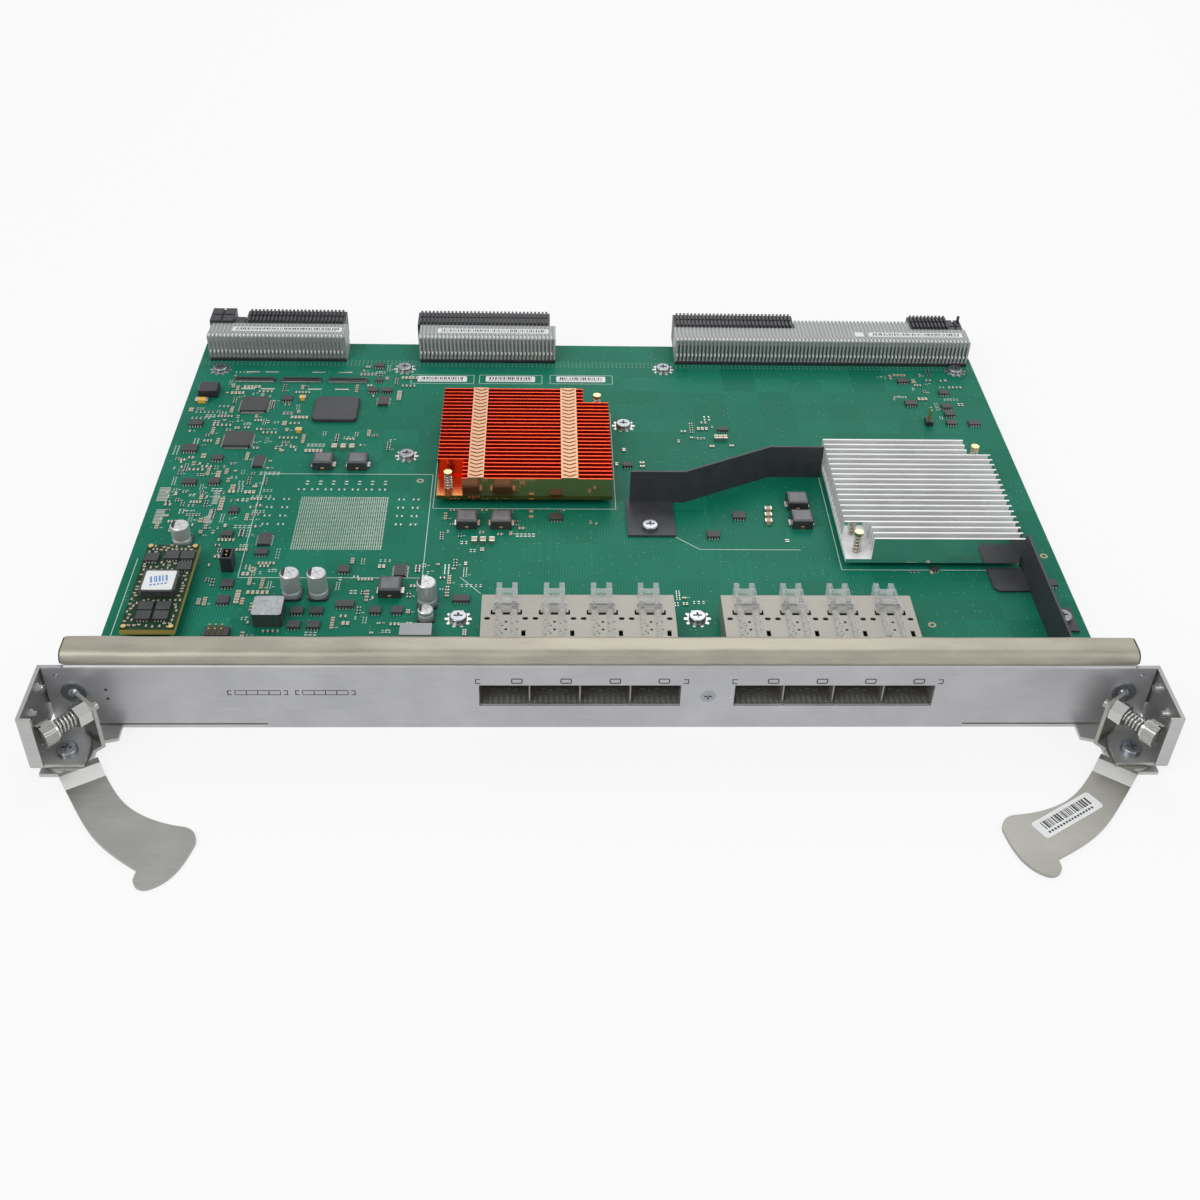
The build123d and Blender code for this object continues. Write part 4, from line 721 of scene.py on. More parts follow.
low, high = [np.array(corner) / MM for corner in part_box("gasket_fabric")]
outline = rounded_section(low[1], high[1], low[2], high[2], 3.9, 2.9)
stations = np.linspace(low[0], high[0], 331)
along = stations[:, None]
height_share = (outline[:, 1] - low[2]) / (high[2] - low[2])
dip = 0.16 * (np.sin(along / 23) * np.sin(along / 7.1 + 1) - 1) * height_share
lean = 0.14 * np.sin(along / 31 + 2) * np.sin(along / 11) * height_share
sleeve = np.stack([along + 0 * dip, outline[:, 0] + lean, outline[:, 1] + dip], -1)
rows, cols = sleeve.shape[:2]
table = grid_faces(rows, cols, False, True).tolist()
woven("gasket_cloth", (0.56, 0.52, 0.42), (0.32, 0.295, 0.24))
gasket = piece("gasket_sleeve", sleeve, table, "gasket_cloth", smooth=True)
step = np.linalg.norm(np.diff(outline, axis=0), axis=1)
girth = np.concatenate([[0], np.cumsum(step)])
corner = np.empty(len(gasket.data.loops), int)
gasket.data.loops.foreach_get("vertex_index", corner)
chart = np.stack([stations[corner // cols], girth[corner % cols]], -1)
gasket.data.uv_layers.new(name="cloth").data.foreach_set("uv", chart.ravel())
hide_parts("gasket_fabric")
closing = np.linalg.norm(outline[0] - outline[-1])
print("way round the sleeve's section, mm:", round(float(girth[-1] + closing), 1))

# %% Foam showing at the gasket's ends


def domed_end(section, x, bulge, rings=5):
    """The outline shrinks towards its middle while it moves out, as a quarter circle does."""
    middle = section.mean(0)
    sweep = np.linspace(0, np.pi / 2, rings)[:, None]
    shrunk = middle + (section - middle) * np.cos(sweep)[..., None] * 0.94
    out = np.broadcast_to(x + bulge * np.sin(sweep), shrunk.shape[:2])
    return np.concatenate([out[..., None], shrunk], -1)


for side_name, x, bulge in (("left", low[0], -0.6), ("right", high[0], 0.6)):
    dome = domed_end(outline, x, bulge)
    table = grid_faces(*dome.shape[:2], False, True)
    table = table[:, ::-1] if bulge > 0 else table
    piece(f"gasket_foam_{side_name}_end", dome, table.tolist(), "foam_black", smooth=True)

# %% [markdown]
# ## Pads under the screws
# Each board screw sits on a tinned ground pad with a toothed rim, which is what makes the
# little silver stars all over the board. The rim is a circle whose radius swells and
# shrinks eight times.

# %% Star pads


def star_pads(middles, radius, teeth, swell, sides=96):
    """Flat star: radius plus a squared-off cosine of teeth times the angle."""
    angle = np.linspace(0, 2 * np.pi, sides, endpoint=False)
    rim = radius + swell * np.tanh(3 * np.cos(teeth * angle))
    flat, table = slab(np.stack([rim * np.cos(angle), rim * np.sin(angle)], -1), 0.0, 0.05)
    return repeated(flat + np.asarray(middles, float)[:, None], table)


screw_boxes = solids("board_screws")
screw_middles = screw_boxes.mean(1)
screw_middles[:, 2] = BOARD
piece("screw_pads", *star_pads(screw_middles, 4.9, 10, 0.75), "tinned")
print("star pads:", len(screw_middles))

# %% [markdown]
# ## Leads
# A chip without its leads is a black tile. Leads are a strip that leaves the body halfway
# up, bends down and lies on the board: a gull's wing. One wing is sixteen points, and each
# chip gets a row of them along its two long sides.

# %% Gull wings


def gull_wings(roots, headings, width, reach=1.0, up=0.7, thick=0.13):
    """Every wing is a four-point path with thickness, turned to its heading."""
    path = np.array([[-0.05, up], [0.22, up], [0.42, 0.12], [reach, 0.10]])
    section = np.concatenate([path + [0, thick / 2], (path - [0, thick / 2])[::-1]])
    left = spread(section[:, 0], -width / 2, section[:, 1])
    shape = np.concatenate([left, left * [1, -1, 1]])
    table = [[k + 8, (k + 1) % 8 + 8, (k + 1) % 8, k] for k in range(8)]
    table += [[0, 1, 6, 7], [1, 2, 5, 6], [2, 3, 4, 5]]
    table += [[15, 14, 9, 8], [14, 13, 10, 9], [13, 12, 11, 10]]
    wings = turned(np.broadcast_to(shape, (len(roots), 16, 3)), np.asarray(headings, float))
    return repeated(wings + np.asarray(roots, float)[:, None], table)


def lead_rows(boxes, pitch, all_sides=False, inset=0.5):
    """Roots and headings of the wings along the sides of each chip."""
    roots, headings = [], []
    for low, high in boxes:
        size = high - low
        for axis in (0, 1):
            if not all_sides and axis != int(size[1] > size[0]):
                continue
            count = max(2, int((size[axis] - 2 * inset) / pitch) + 1)
            row = (np.arange(count) - (count - 1) / 2) * pitch + (low[axis] + high[axis]) / 2
            for edge, way in ((low, -1), (high, 1)):
                root = np.zeros((count, 3))
                root[:, axis] = row
                root[:, 1 - axis] = edge[1 - axis]
                root[:, 2] = low[2]
                roots.append(root)
                heading = (np.pi / 2 if axis == 0 else 0) + (np.pi if way < 0 else 0)
                headings.append(np.full(count, heading))
    return np.concatenate(roots), np.concatenate(headings)


WIDE_PITCH, FINE_PITCH = 1.27, 0.5
small_leads = lead_rows(solids("small_chips"), WIDE_PITCH)
quad_leads = lead_rows(solids("quad_chips"), FINE_PITCH, True, 1.0)
module_boxes = solids("power_module_chips")
piece("small_chip_leads", *gull_wings(*small_leads, 0.45), "tinned")
piece("quad_chip_leads", *gull_wings(*quad_leads, 0.24, 1.1), "tinned")
module_leads = gull_wings(*lead_rows(module_boxes, WIDE_PITCH), 0.5, 0.7, 0.5)
piece("module_chip_leads", *module_leads, "tinned")
spare_boxes = np.array([
    [[13.4, 163.6, BOARD], [17.8, 166.8, BOARD + 1.3]], [[145.0, 84.6, BOARD], [148.6, 87.2, BOARD + 1.2]],
])
spare_size = spare_boxes[:, 1] - spare_boxes[:, 0]
piece("spare_chips", *bricks(spare_boxes.mean(1), spare_size, 0.15), "chip_black")
piece("spare_chip_leads", *gull_wings(*lead_rows(spare_boxes, WIDE_PITCH), 0.45), "tinned")
print("leads:", len(small_leads[0]) + len(quad_leads[0]))

# %% [markdown]
# ## Chip resistors and capacitors
# The smallest parts make a board look like a board. They stand in short rows on a half
# millimetre grid, in crowded patches near the chips. A map of the free cells keeps them off
# everything else: a row is laid only where all its cells are free, and it then takes them.

# %% Free space on the board

CELL = 0.5
MAP_LOW = np.array([-203.0, 1.5])
MAP_SIZE = (np.array([406.0, 258.0]) / CELL).astype(int)
taken = np.zeros(MAP_SIZE, bool)


def cells(x0, y0, x1, y1):
    """Slices of the map that a rectangle in millimetres covers."""
    a = np.clip(np.floor((np.array([x0, y0]) - MAP_LOW) / CELL), 0, MAP_SIZE).astype(int)
    b = np.clip(np.ceil((np.array([x1, y1]) - MAP_LOW) / CELL), 0, MAP_SIZE).astype(int)
    return slice(a[0], b[0]), slice(a[1], b[1])


def take(boxes, margin):
    """Marks boxes as taken, with a margin all round."""
    for low, high in boxes:
        taken[cells(low[0] - margin, low[1] - margin, high[0] + margin, high[1] + margin)] = True


ON_BOARD = (
    "small_chips", "quad_chips", "logic_chip", "strip_connectors", "header_blocks", "corner_relay",
    "ceramic_parts", "tantalum_parts", "capacitor_bases", "silver_choke", "black_chokes",
    "grey_filter_block", "connector_wafers", "left_port_cage", "right_port_cage", "centre_baffle",
    "right_baffle", "sink_pins", "copper_base", "aluminium_sink", "power_module_board", "light_pipes",
)
for node in ON_BOARD:
    take(solids(node), 1.1)
take(screw_boxes, 3.0)
PAD_FIELD = (-135.3, 98.7, -95.5, 138.5)
taken[cells(PAD_FIELD[0] - 3, PAD_FIELD[1] - 3, PAD_FIELD[2] + 3, PAD_FIELD[3] + 3)] = True
print("board already covered:", round(float(taken.mean()), 2))

# %% Rows of small parts

random = np.random.default_rng(7)
TAN, BLACK, BARE = 0, 1, 2
rows_laid = []


def lay_row(x, y, count, step, kind, upright, size=(1.6, 0.85), force=False):
    """A row of count parts from (x, y) with step between them, if its cells are free."""
    long, wide = size
    half = np.array([wide, long]) / 2 if upright else np.array([long, wide]) / 2
    run = np.array([step, 0]) if upright else np.array([0, step])
    spots = np.array([x, y]) + run * np.arange(count)[:, None]
    low, high = spots.min(0) - half - 0.2, spots.max(0) + half + 0.2
    area = cells(*low, *high)
    outside = (low < [-201.5, 2.5]).any() or (high > [201.5, 258.5]).any()
    if outside or not force and (taken[area].any() or taken[area].size == 0):
        return 0
    taken[area] = True
    rows_laid.append((spots, kind, upright, size))
    return count


def crowd(x0, y0, x1, y1, rows, kinds=(TAN, BLACK, TAN, BARE), most=5):
    """Lays up to that many short rows at random places of the rectangle."""
    laid = 0
    for _ in range(rows):
        upright = random.random() < 0.5
        step = random.choice([1.4, 1.6, 2.0])
        size = (1.6, 0.85) if random.random() < 0.75 else (2.2, 1.3)
        x = np.round(random.uniform(x0, x1) / CELL) * CELL
        y = np.round(random.uniform(y0, y1) / CELL) * CELL
        kind = kinds[random.integers(len(kinds))]
        count = int(random.integers(1, most + 1))
        laid += lay_row(x, y, count, max(step, size[1] + 0.5), kind, upright, size)
    return laid


# Crowded patches: two corners, and how many rows are tried there
CROWDS = [
    (-198, 108, -152, 168, 420), (-200, 168, -184, 216, 60), (-184, 176, -140, 236, 200),
    (-170, 60, -140, 110, 90), (-152, 40, -56, 60, 130), (-112, 56, -56, 92, 110),
    (-70, 104, -34, 128, 60), (-120, 222, -96, 258, 60), (56, 108, 102, 140, 80),
    (150, 226, 192, 252, 34), (172, 200, 196, 226, 14), (-140, 174, -96, 192, 20),
    (40, 186, 68, 204, 24), (-30, 118, 4, 128, 8), (26, 60, 42, 66, 16), (130, 83, 150, 87, 8),
    (-120, 244, -104, 258, 14), (-186, 236, -182, 256, 8),
]
total = sum(crowd(*patch) for patch in CROWDS)
for n in range(7):
    total += lay_row(-133.9 + 6.0 * n, 150.0, 1, 2, BARE, True, (3.0, 1.5), True)
    total += lay_row(-136.1 + 6.2 * n, 144.6, 1, 2, BARE, False, (3.4, 1.3), True)
for x in (-148.8, -141.8, -89.4, -82.8):
    for n in range(4):
        total += lay_row(x, 117.6 + 6.4 * n, 1, 2, BARE, False, (3.0, 1.3), True)
# Loners that stand by themselves on open board: x, y, count, step, kind, upright, size
LONERS = [
    (-52.2, 128.4, 2, 2.0, TAN, True, (1.8, 1.1)), (-60.4, 104.3, 2, 2.0, BARE, True, (2.0, 1.1)),
    (-56.2, 98.5, 2, 1.6, BARE, True, (2.0, 0.9)), (-51.2, 99.1, 1, 2.0, BLACK, True, (2.0, 1.9)),
    (10.4, 166.0, 1, 2.0, TAN, True, (2.2, 1.3)), (22.6, 164.4, 2, 3.0, TAN, False, (2.2, 1.3)),
    (14.4, 178.4, 1, 2.0, TAN, True, (2.4, 1.5)), (-29.9, 123.4, 2, 4.2, TAN, False, (2.2, 1.4)),
    (57.0, 206.6, 2, 2.6, BARE, False, (3.0, 1.2)), (57.5, 182.0, 1, 2.0, TAN, False, (2.2, 1.4)),
    (67.1, 182.6, 1, 2.0, TAN, False, (2.0, 1.2)), (84.6, 106.2, 1, 2.0, BLACK, True, (2.0, 1.9)),
]
total += sum(lay_row(*row) for row in LONERS)
print("small parts laid:", total)

# %% Build the small parts


def end_caps(middles, size, axis, share, apart, grow):
    """Middles and sizes of two end caps: share is a cap's part of the length, apart is how
    far each sits from the middle in lengths, and grow is how much a cap stands out."""
    cap = size + grow
    cap[axis] = size[axis] * share
    shift = np.zeros(3)
    shift[axis] = size[axis] * apart
    return [middles - shift, middles + shift], np.tile(cap, (2 * len(middles), 1))


def chip_parts(kind, tall):
    """Bodies and the two end caps of every part of one kind, as two (points, faces) pairs."""
    bodies, body_sizes, caps, cap_sizes = [], [], [], []
    for spots, its_kind, upright, (long, wide) in rows_laid:
        if its_kind != kind:
            continue
        middles = spread(spots[:, 0], spots[:, 1], BOARD + tall / 2)
        axis = 1 if upright else 0
        size = np.array([long, long, tall])
        size[1 - axis] = wide
        body = size.copy()
        body[axis] = long * 0.6
        bodies.append(middles)
        body_sizes.append(np.tile(body, (len(spots), 1)))
        pair, sizes = end_caps(middles, size, axis, 0.26, 0.37, 0.05)
        caps += pair
        cap_sizes.append(sizes)
    body = bricks(np.concatenate(bodies), np.concatenate(body_sizes), 0)
    ends = bricks(np.concatenate(caps), np.concatenate(cap_sizes), 0.06)
    return body, ends


tan_bodies, tan_caps = chip_parts(TAN, 0.7)
black_bodies, black_caps = chip_parts(BLACK, 0.45)
_, bare_pads = chip_parts(BARE, 0.06)
piece("chip_capacitors", *tan_bodies, "ceramic")
piece("chip_resistors", *black_bodies, "resistor_black")
piece("chip_ends", *joined(tan_caps, black_caps), "tinned")
piece("empty_pads", *bare_pads, "tinned")
print("chip ends:", len(tan_caps[0]) // 24 + len(black_caps[0]) // 24)

# %% [markdown]
# ## The empty chip site
# To the left of the copper sink is a bare square field of pads, where a chip that this
# blade doesn't need would go. It is a plain grid of discs.

# %% Pad field
x0, y0, x1, y1 = PAD_FIELD
field_x, field_y = np.meshgrid(np.arange(x0 + 0.5, x1, 1.0), np.arange(y0 + 0.5, y1, 1.0))
field = spread(field_x.ravel(), field_y.ravel(), BOARD)
piece("pad_field", *discs(field, 0.34, 0.04, 8), "tinned")
print("pads in the field:", len(field))

# %% [markdown]
# ## Printing on the board
# The white print is thin outlines round parts and short ticks beside them. A tick is tiny,
# but there are so many that they lift the board's tone where parts stand close.

# %% Printed outlines
INK = 0.03


def strokes(starts, ends, width, floor=BOARD, thick=INK):
    """Straight lines with width: a thin slab from each start to each end."""
    starts, ends = np.asarray(starts, float), np.asarray(ends, float)
    run, middle = ends - starts, (starts + ends) / 2
    middles = spread(middle[:, 0], middle[:, 1], floor + thick / 2)
    sizes = spread(np.hypot(run[:, 0], run[:, 1]) + width, width, thick)
    return bricks(middles, sizes, 0, np.arctan2(run[:, 1], run[:, 0]))


def frames(boxes, gap, width=0.2, floor=BOARD):
    """Four strokes round each (low, high) box, gap millimetres outside it."""
    boxes = np.asarray(boxes, float)[..., :2]
    low, high = boxes[:, 0] - gap, boxes[:, 1] + gap
    corners = [low, np.stack([high[:, 0], low[:, 1]], -1), high, np.stack([low[:, 0], high[:, 1]], -1)]
    return strokes(np.concatenate(corners), np.concatenate(corners[1:] + corners[:1]), width, floor)


def box_at(x, y, wide, deep):
    """A (low, high) pair from a middle and two lengths."""
    return [[x - wide / 2, y - deep / 2], [x + wide / 2, y + deep / 2]]


sites = [box_at(-115.4, 118.1, 78.4, 78.0), box_at(-33, 171, 83.5, 82)]
ticks = np.array([spots[0] for spots, _, _, size in rows_laid if size[0] < 2][::2]) + [1.4, 0.9]
line_starts = [(34.9, 108.9), (45.0, 99.9), (-59.9, 79.6), (-199.5, 30.0)]
line_ends = [(45.0, 99.9), (89.6, 99.9), (-50.9, 68.7), (-199.5, 92.0)]
print_work = joined(
    frames(sites, 0, 0.28), frames(solids("aluminium_sink"), 1.3, 0.28),
    strokes(ticks, ticks + [1.0, 0.0], 0.3), strokes(line_starts, line_ends, 0.3),
)
piece("board_print", *print_work, "ink_white")
print("ticks:", len(ticks))

# %% Rings and bare bars
RINGS = [(-149.2, 84.7), (-81.9, 151.9), (198.1, 96.1), (138.2, 48.7)]
piece("tooling_rings", *discs([[x, y, BOARD] for x, y in RINGS], 1.7, 0.05, 32, 0.9), "ceramic")
bar_spots = [[x, y, BOARD + 0.15] for x in (-174.3, -164.6, -140.8, -127.0) for y in (232.6, 249.4)]
piece("bare_bars", *bricks(bar_spots, [7.0, 0.9, 0.3], 0.08), "tinned")
# Ladders of ten rungs: middle and width
LADDERS = [(-198.1, 140.1, 5.0), (-196.8, 122.9, 4.0), (-173.9, 137.8, 2.6), (-173.8, 123.0, 2.6)]
rungs = [[x, y + 1.1 * (n - 4.5), BOARD + 0.03] for x, y, wide in LADDERS for n in range(10)]
rung_sizes = [[wide, 0.6, 0.06] for x, y, wide in LADDERS for n in range(10)]
piece("ladder_pads", *bricks(rungs, rung_sizes, 0), "tinned")
seats = solids("strip_connectors")
rails = [
    [(low[0] + high[0]) / 2, y, BOARD + 0.5] for low, high in seats for y in (low[1] - 0.1, high[1] + 0.1)
]
rail_size = [seats[0, 1, 0] - seats[0, 0, 0], 0.5, 1.0]
piece("strip_rails", *bricks(rails, rail_size, 0.05), "tinned")
print("rings, bars, rungs, rails:", len(RINGS), len(bar_spots), len(rungs), len(rails))

# %% [markdown]
# ## Labels
# A paper label is a thin sheet with rounded corners. On it stand bars of random widths with
# random gaps, over a broken line of dashes.

# %% Labels
ON_PAPER = 0.14


def rounded_rim(wide, deep, radius, shrink=0.0, steps=6):
    """Outline of a rounded rectangle, moved inwards by shrink: four quarter circles in turn."""
    turn = np.concatenate([np.linspace(0, np.pi / 2, steps) + q * np.pi / 2 for q in range(4)])
    signs = np.repeat([[1, 1], [-1, 1], [-1, -1], [1, -1]], steps, axis=0)
    bend = max(radius - shrink, 0.05) * np.stack([np.cos(turn), np.sin(turn)], -1)
    return signs * (np.array([wide, deep]) / 2 - radius) + bend


def sheet_label(x, y, wide, deep, floor, angle=0.0, radius=0.8, thick=0.12):
    """Rounded rectangle given thickness, turned and set down."""
    flat, table = slab(rounded_rim(wide, deep, radius), 0.0, thick)
    return turned(flat[None], np.array([angle]))[0] + [x, y, floor], table


def bar_code(x, y, wide, deep, floor, angle=0.0, seed=1, thick=0.04):
    """Upright bars of random width with random gaps, and a broken line under them."""
    pick = np.random.default_rng(seed)
    edges = np.cumsum(pick.choice([0.25, 0.4, 0.6, 0.8], int(wide / 0.5)))
    edges = edges[edges < wide]
    edges = edges[: len(edges) // 2 * 2].reshape(-1, 2)
    bars = spread(edges.mean(1) - wide / 2, deep * 0.12, 0.0)
    bar_sizes = spread(edges[:, 1] - edges[:, 0], deep * 0.5, thick)
    under = np.arange(-wide / 2 + 0.6, wide / 2 - 0.6, 1.5)
    spots = np.concatenate([bars, spread(under, -deep * 0.32, 0.0)])
    sizes = np.concatenate([bar_sizes, np.tile([0.9, deep * 0.12, thick], (len(under), 1))])
    spots = turned(spots[None], np.array([angle]))[0] + [x, y, floor]
    return bricks(spots, sizes, 0, angle)


BOARD_LABELS = [(-76.8, 243.9, 25.4, 5.4, 3), (-41.7, 244.2, 25.4, 5.4, 4), (-5.3, 244.5, 25.4, 5.4, 5)]
papers, inks, rims = [], [], []
for x, y, wide, deep, seed in BOARD_LABELS:
    papers.append(sheet_label(x, y, wide, deep, BOARD))
    inks.append(bar_code(x, y, wide - 2.5, deep - 0.8, BOARD + ON_PAPER, 0, seed))
    rims.append(box_at(x + 0.2, y - 0.3, wide + 6.8, deep + 3.0))
piece("board_labels", *joined(*papers), "label_white")
piece("board_label_bars", *joined(*inks), "ink_black")
piece("board_label_frames", *frames(rims, 0, 0.25), "ink_white")

low, high = solids("power_module_core")[0]
x, y, _ = (low + high) / 2
wide, deep, _ = high - low
piece("core_label", *sheet_label(x, y, wide - 2, deep - 2, high[2]), "label_white")
piece("core_label_marks", *bar_code(x, y, 8, 8, high[2] + ON_PAPER, 0.2, 9), "ink_blue")
print("labels:", len(papers) + 1)

# %% Label on the right lever
LEVER_LABEL = (170.4, -49.0)
LEVER_TURN = np.radians(32.0)
LEVER_TOP = 1.5
paper = sheet_label(*LEVER_LABEL, 30.4, 8.6, LEVER_TOP, LEVER_TURN, 1.4)
bars = bar_code(*LEVER_LABEL, 25.0, 7.4, LEVER_TOP + ON_PAPER, LEVER_TURN, 12)
piece("lever_label", *paper, "label_white", "right_lever")
piece("lever_label_bars", *bars, "ink_black", "right_lever")
print("bars on the lever's label:", len(bars[0]) // 8)

# %% [markdown]
# ## The backplane connectors
# Each grey wafer ends in a white tip along the front of the block, and stands on a black
# foot. A narrow paper strip lies along the top of each block.

# %% Wafer tips, feet and strips
WAFER_PITCH = 2.0
STRIP_Y, STRIP_TOP, STRIP_DEEP = 269.8, BOARD + 13.62, 4.4
STRIPS = [(-158.2, 56.6), (-51.0, 58.0), (172.5, 50.0)]
tips, gap_shade_spots, feet, foot_sizes, strips, strip_bars = [], [], [], [], [], []
for (low, high), (x, wide) in zip(solids("connector_wafers"), STRIPS):
    columns = np.arange(low[0] + 1, high[0], WAFER_PITCH)
    tips += [spread(columns, low[1] + 1.2, high[2] - 0.2), spread(columns, low[1] + 0.25, BOARD + 5.5)]
    # Painted shade: a dark bar stands in each gap between two wafers
    gap_shade_spots.append(spread(columns[:-1] + 1, low[1] + 0.45, BOARD + 6.6))
    feet.append([(low[0] + high[0]) / 2, low[1] + 0.3, BOARD + 0.9])
    foot_sizes.append([high[0] - low[0] - 0.4, 1.6, 1.8])
    strips.append(sheet_label(x, STRIP_Y, wide, STRIP_DEEP, STRIP_TOP, 0, 0.4))
    strip_bars.append(bar_code(x, STRIP_Y, wide - 3, 3.6, STRIP_TOP + ON_PAPER, 0, int(wide)))
strips.append(sheet_label(142.3, STRIP_Y, 4.6, STRIP_DEEP, STRIP_TOP, 0, 0.4))
piece("wafer_tips", *bricks(np.concatenate(tips), [0.8, 2.2, 1.3], 0.12), "tip_white")
# The dark bars in the gaps between the wafers are painted shade
piece("wafer_slots", *bricks(np.concatenate(gap_shade_spots), [0.7, 0.24, 8.8], 0.05), "slot_shade")
piece("wafer_feet", *bricks(feet, foot_sizes, 0.15), "housing_black")
piece("wafer_strips", *joined(*strips), "label_white")
piece("wafer_strip_bars", *joined(*strip_bars), "ink_black")
print("wafer tips:", sum(len(t) for t in tips))

# %% [markdown]
# ## The mating faces
# The back of each black housing takes the backplane's pins, so it is a grid of small dark
# openings with a gilt contact in each. They can't be seen from the front, and a flat dark plate
# of painted shade, for the dark inside, with a bright strip on it is enough at their size.

# %% Mating faces
openings = []
for low, high in solids("connector_housings"):
    across = np.arange(low[0] + 1.2, high[0] - 0.6, 2.0)
    upward = np.arange(low[2] + 1.4, low[2] + 12.6, 1.6)
    x, z = [grid.ravel() for grid in np.meshgrid(across, upward)]
    openings.append(spread(x, high[1] - 0.02, z))
openings = np.concatenate(openings)
# Painted shade: a flat black plate stands for the dark inside of each opening
piece("mating_openings", *bricks(openings, [1.3, 0.10, 1.0], 0), "foam_black")
piece("mating_contacts", *bricks(openings, [0.3, 0.16, 0.7], 0), "gold_plate")
print("contacts on the mating faces:", len(openings))

# %% [markdown]
# ## Print on the panel
# Over each port is the outline of a light window, with a bracket mark at each end of the
# group, and two groups of four status lights sit at the left. All are black ink.

# %% Panel print


def upright_ring(x, z, wide, tall, line, radius, y=-0.75):
    """Rounded outline that stands on the panel: outer and inner rims joined by quads."""
    loops = []
    for shrink, lift in ((0, 0), (0, 0.05), (line, 0.05), (line, 0)):
        rim = rounded_rim(wide, tall, radius, shrink)
        loops.append(spread(x + rim[:, 0], y - lift, z + rim[:, 1]))
    return np.concatenate(loops), grid_faces(4, len(rim), True, True)[:, ::-1].tolist()


def bracket_mark(x, z, wide, tall, way, line=0.35, y=-0.77):
    """Three strokes that open to one side."""
    return bricks(
        [[x, y, z + tall / 2], [x, y, z - tall / 2], [x - way * wide / 2, y, z]],
        [[wide, 0.05, line], [wide, 0.05, line], [line, 0.05, tall + line]], 0,
    )


# Middles of the groups of four; pitch, height, size and corner of a window; then height,
# distances from the middle and width of the two bracket marks
PORTS = (-6.0, 92.5), 18.8, 13.5, (4.4, 2.6), 0.7, 13.3, (-43.0, 36.6), 1.8
LIGHTS = (-133.0, -107.3), 4.3, 7.5, (4.6, 2.4), 0.3, 7.5, (-10.6, 10.6), 1.4
marks = []
for groups, pitch, height, window, corner, mark_height, ends, mark_wide in (PORTS, LIGHTS):
    for group in groups:
        for n in range(4):
            spot = group + (n - 1.5) * pitch
            marks.append(upright_ring(spot, BOARD + height, *window, 0.42, corner))
        for end, way in zip(ends, (1, -1)):
            marks.append(bracket_mark(group + end, BOARD + mark_height, mark_wide, 2.0, way))
piece("panel_print", *joined(*marks), "ink_black")
dots = [[-190.0, -0.77, BOARD + z] for z in (9.0, 4.4)]
piece("status_dots", *bricks(dots, [1.1, 0.06, 1.1], 0.02), "ink_black")
print("printed outlines:", len(marks))

# %% [markdown]
# ## Inside the ports
# The host connector at the back of each bay has two rows of gold contacts in its slot, and
# a ribbed nose below it.

# %% Contacts and ribs
FLOOR_SPRINGS = (-4.6, 9.4), (-1.6, 8.6), (1.4, 9.4), (4.2, 8.6)
contacts, ribs, fingers, springs, sills = [], [], [], [], []
for low, high in solids("port_connectors"):
    middle = (low[0] + high[0]) / 2
    columns = middle + (np.arange(19) - 9) * 0.76
    for z in (-0.55, 0.55):
        contacts.append(spread(columns, low[1] + 1.2, (low[2] + high[2]) / 2 + z))
    ribs.append(spread(middle + (np.arange(9) - 4) * 1.9, low[1] - 0.2, low[2] + 1.2))
    fingers.append(spread(middle + (np.arange(8) - 3.5) * 2.2, 3.0, BOARD + 0.75))
    springs += [[middle + x, y, BOARD + 0.7] for x, y in FLOOR_SPRINGS]
    sills.append([middle, 0.4, BOARD + 0.65])
piece("port_contacts", *bricks(np.concatenate(contacts), [0.35, 3.0, 0.35], 0.05), "gold_plate")
piece("port_ribs", *bricks(np.concatenate(ribs), [0.8, 0.8, 2.2], 0.1), "housing_black")
piece("bay_fingers", *bricks(np.concatenate(fingers), [1.2, 4.4, 0.3], 0.05), "rib_grey")
piece("bay_floor_springs", *bricks(springs, [1.8, 1.0, 0.3], 0.05), "rib_grey")
piece("bay_sills", *bricks(sills, [18.6, 0.8, 0.3], 0.05), "tinned")
print("bays:", len(sills))

# %% [markdown]
# ## Capacitor tops and choke feet
# The cans have a black half moon printed on top over a scored cross, and the black chokes
# show a bright copper foot in a slot at the front.

# %% Can marks


def half_moon(x, y, z, radius, share=0.55, steps=16):
    """Part of a disc beyond a straight chord; share is how far the chord is from the middle."""
    reach = np.arccos(share)
    turn = np.linspace(np.pi - reach, np.pi + reach, steps)
    return slab(np.stack([x + radius * np.cos(turn), y + radius * np.sin(turn)], -1), z, 0.05)


moons, scores = [], []
for low, high in solids("capacitor_cans"):
    middle = (low + high) / 2
    radius = (high[0] - low[0]) / 2 - 0.5
    moons.append(half_moon(middle[0], middle[1], high[2], radius))
    for turn in (0.6, 0.6 + np.pi / 2):
        reach = 0.75 * radius * np.array([np.cos(turn), np.sin(turn)])
        scores.append(strokes([middle[:2] - reach], [middle[:2] + reach], 0.22, high[2]))
piece("can_marks", *joined(*moons), "ink_black")
piece("can_scores", *joined(*scores), "choke_metal")
print("cans:", len(moons))

# %% Choke feet, lids and ends
feet, lids, lid_sizes, ends = [], [], [], []
for low, high in solids("black_chokes"):
    middle, size = (low + high) / 2, high - low
    feet.append([middle[0], low[1] + 0.2, BOARD + 0.9])
    lids.append([middle[0], middle[1], high[2] + 0.05])
    lid_sizes.append([size[0] - 2.4, size[1] - 2.4, 0.12])
    ends += [[x, middle[1], BOARD + 0.35] for x in (low[0] - 0.3, high[0] + 0.3)]
piece("choke_feet", *bricks(feet, [1.8, 1.2, 1.8], 0.15), "copper_tab")
piece("choke_lids", *bricks(lids, lid_sizes, 0.03), "plate_grey")
piece("choke_ends", *bricks(ends, [1.4, 4.0, 0.7], 0.1), "tinned")
print("chokes:", len(feet))

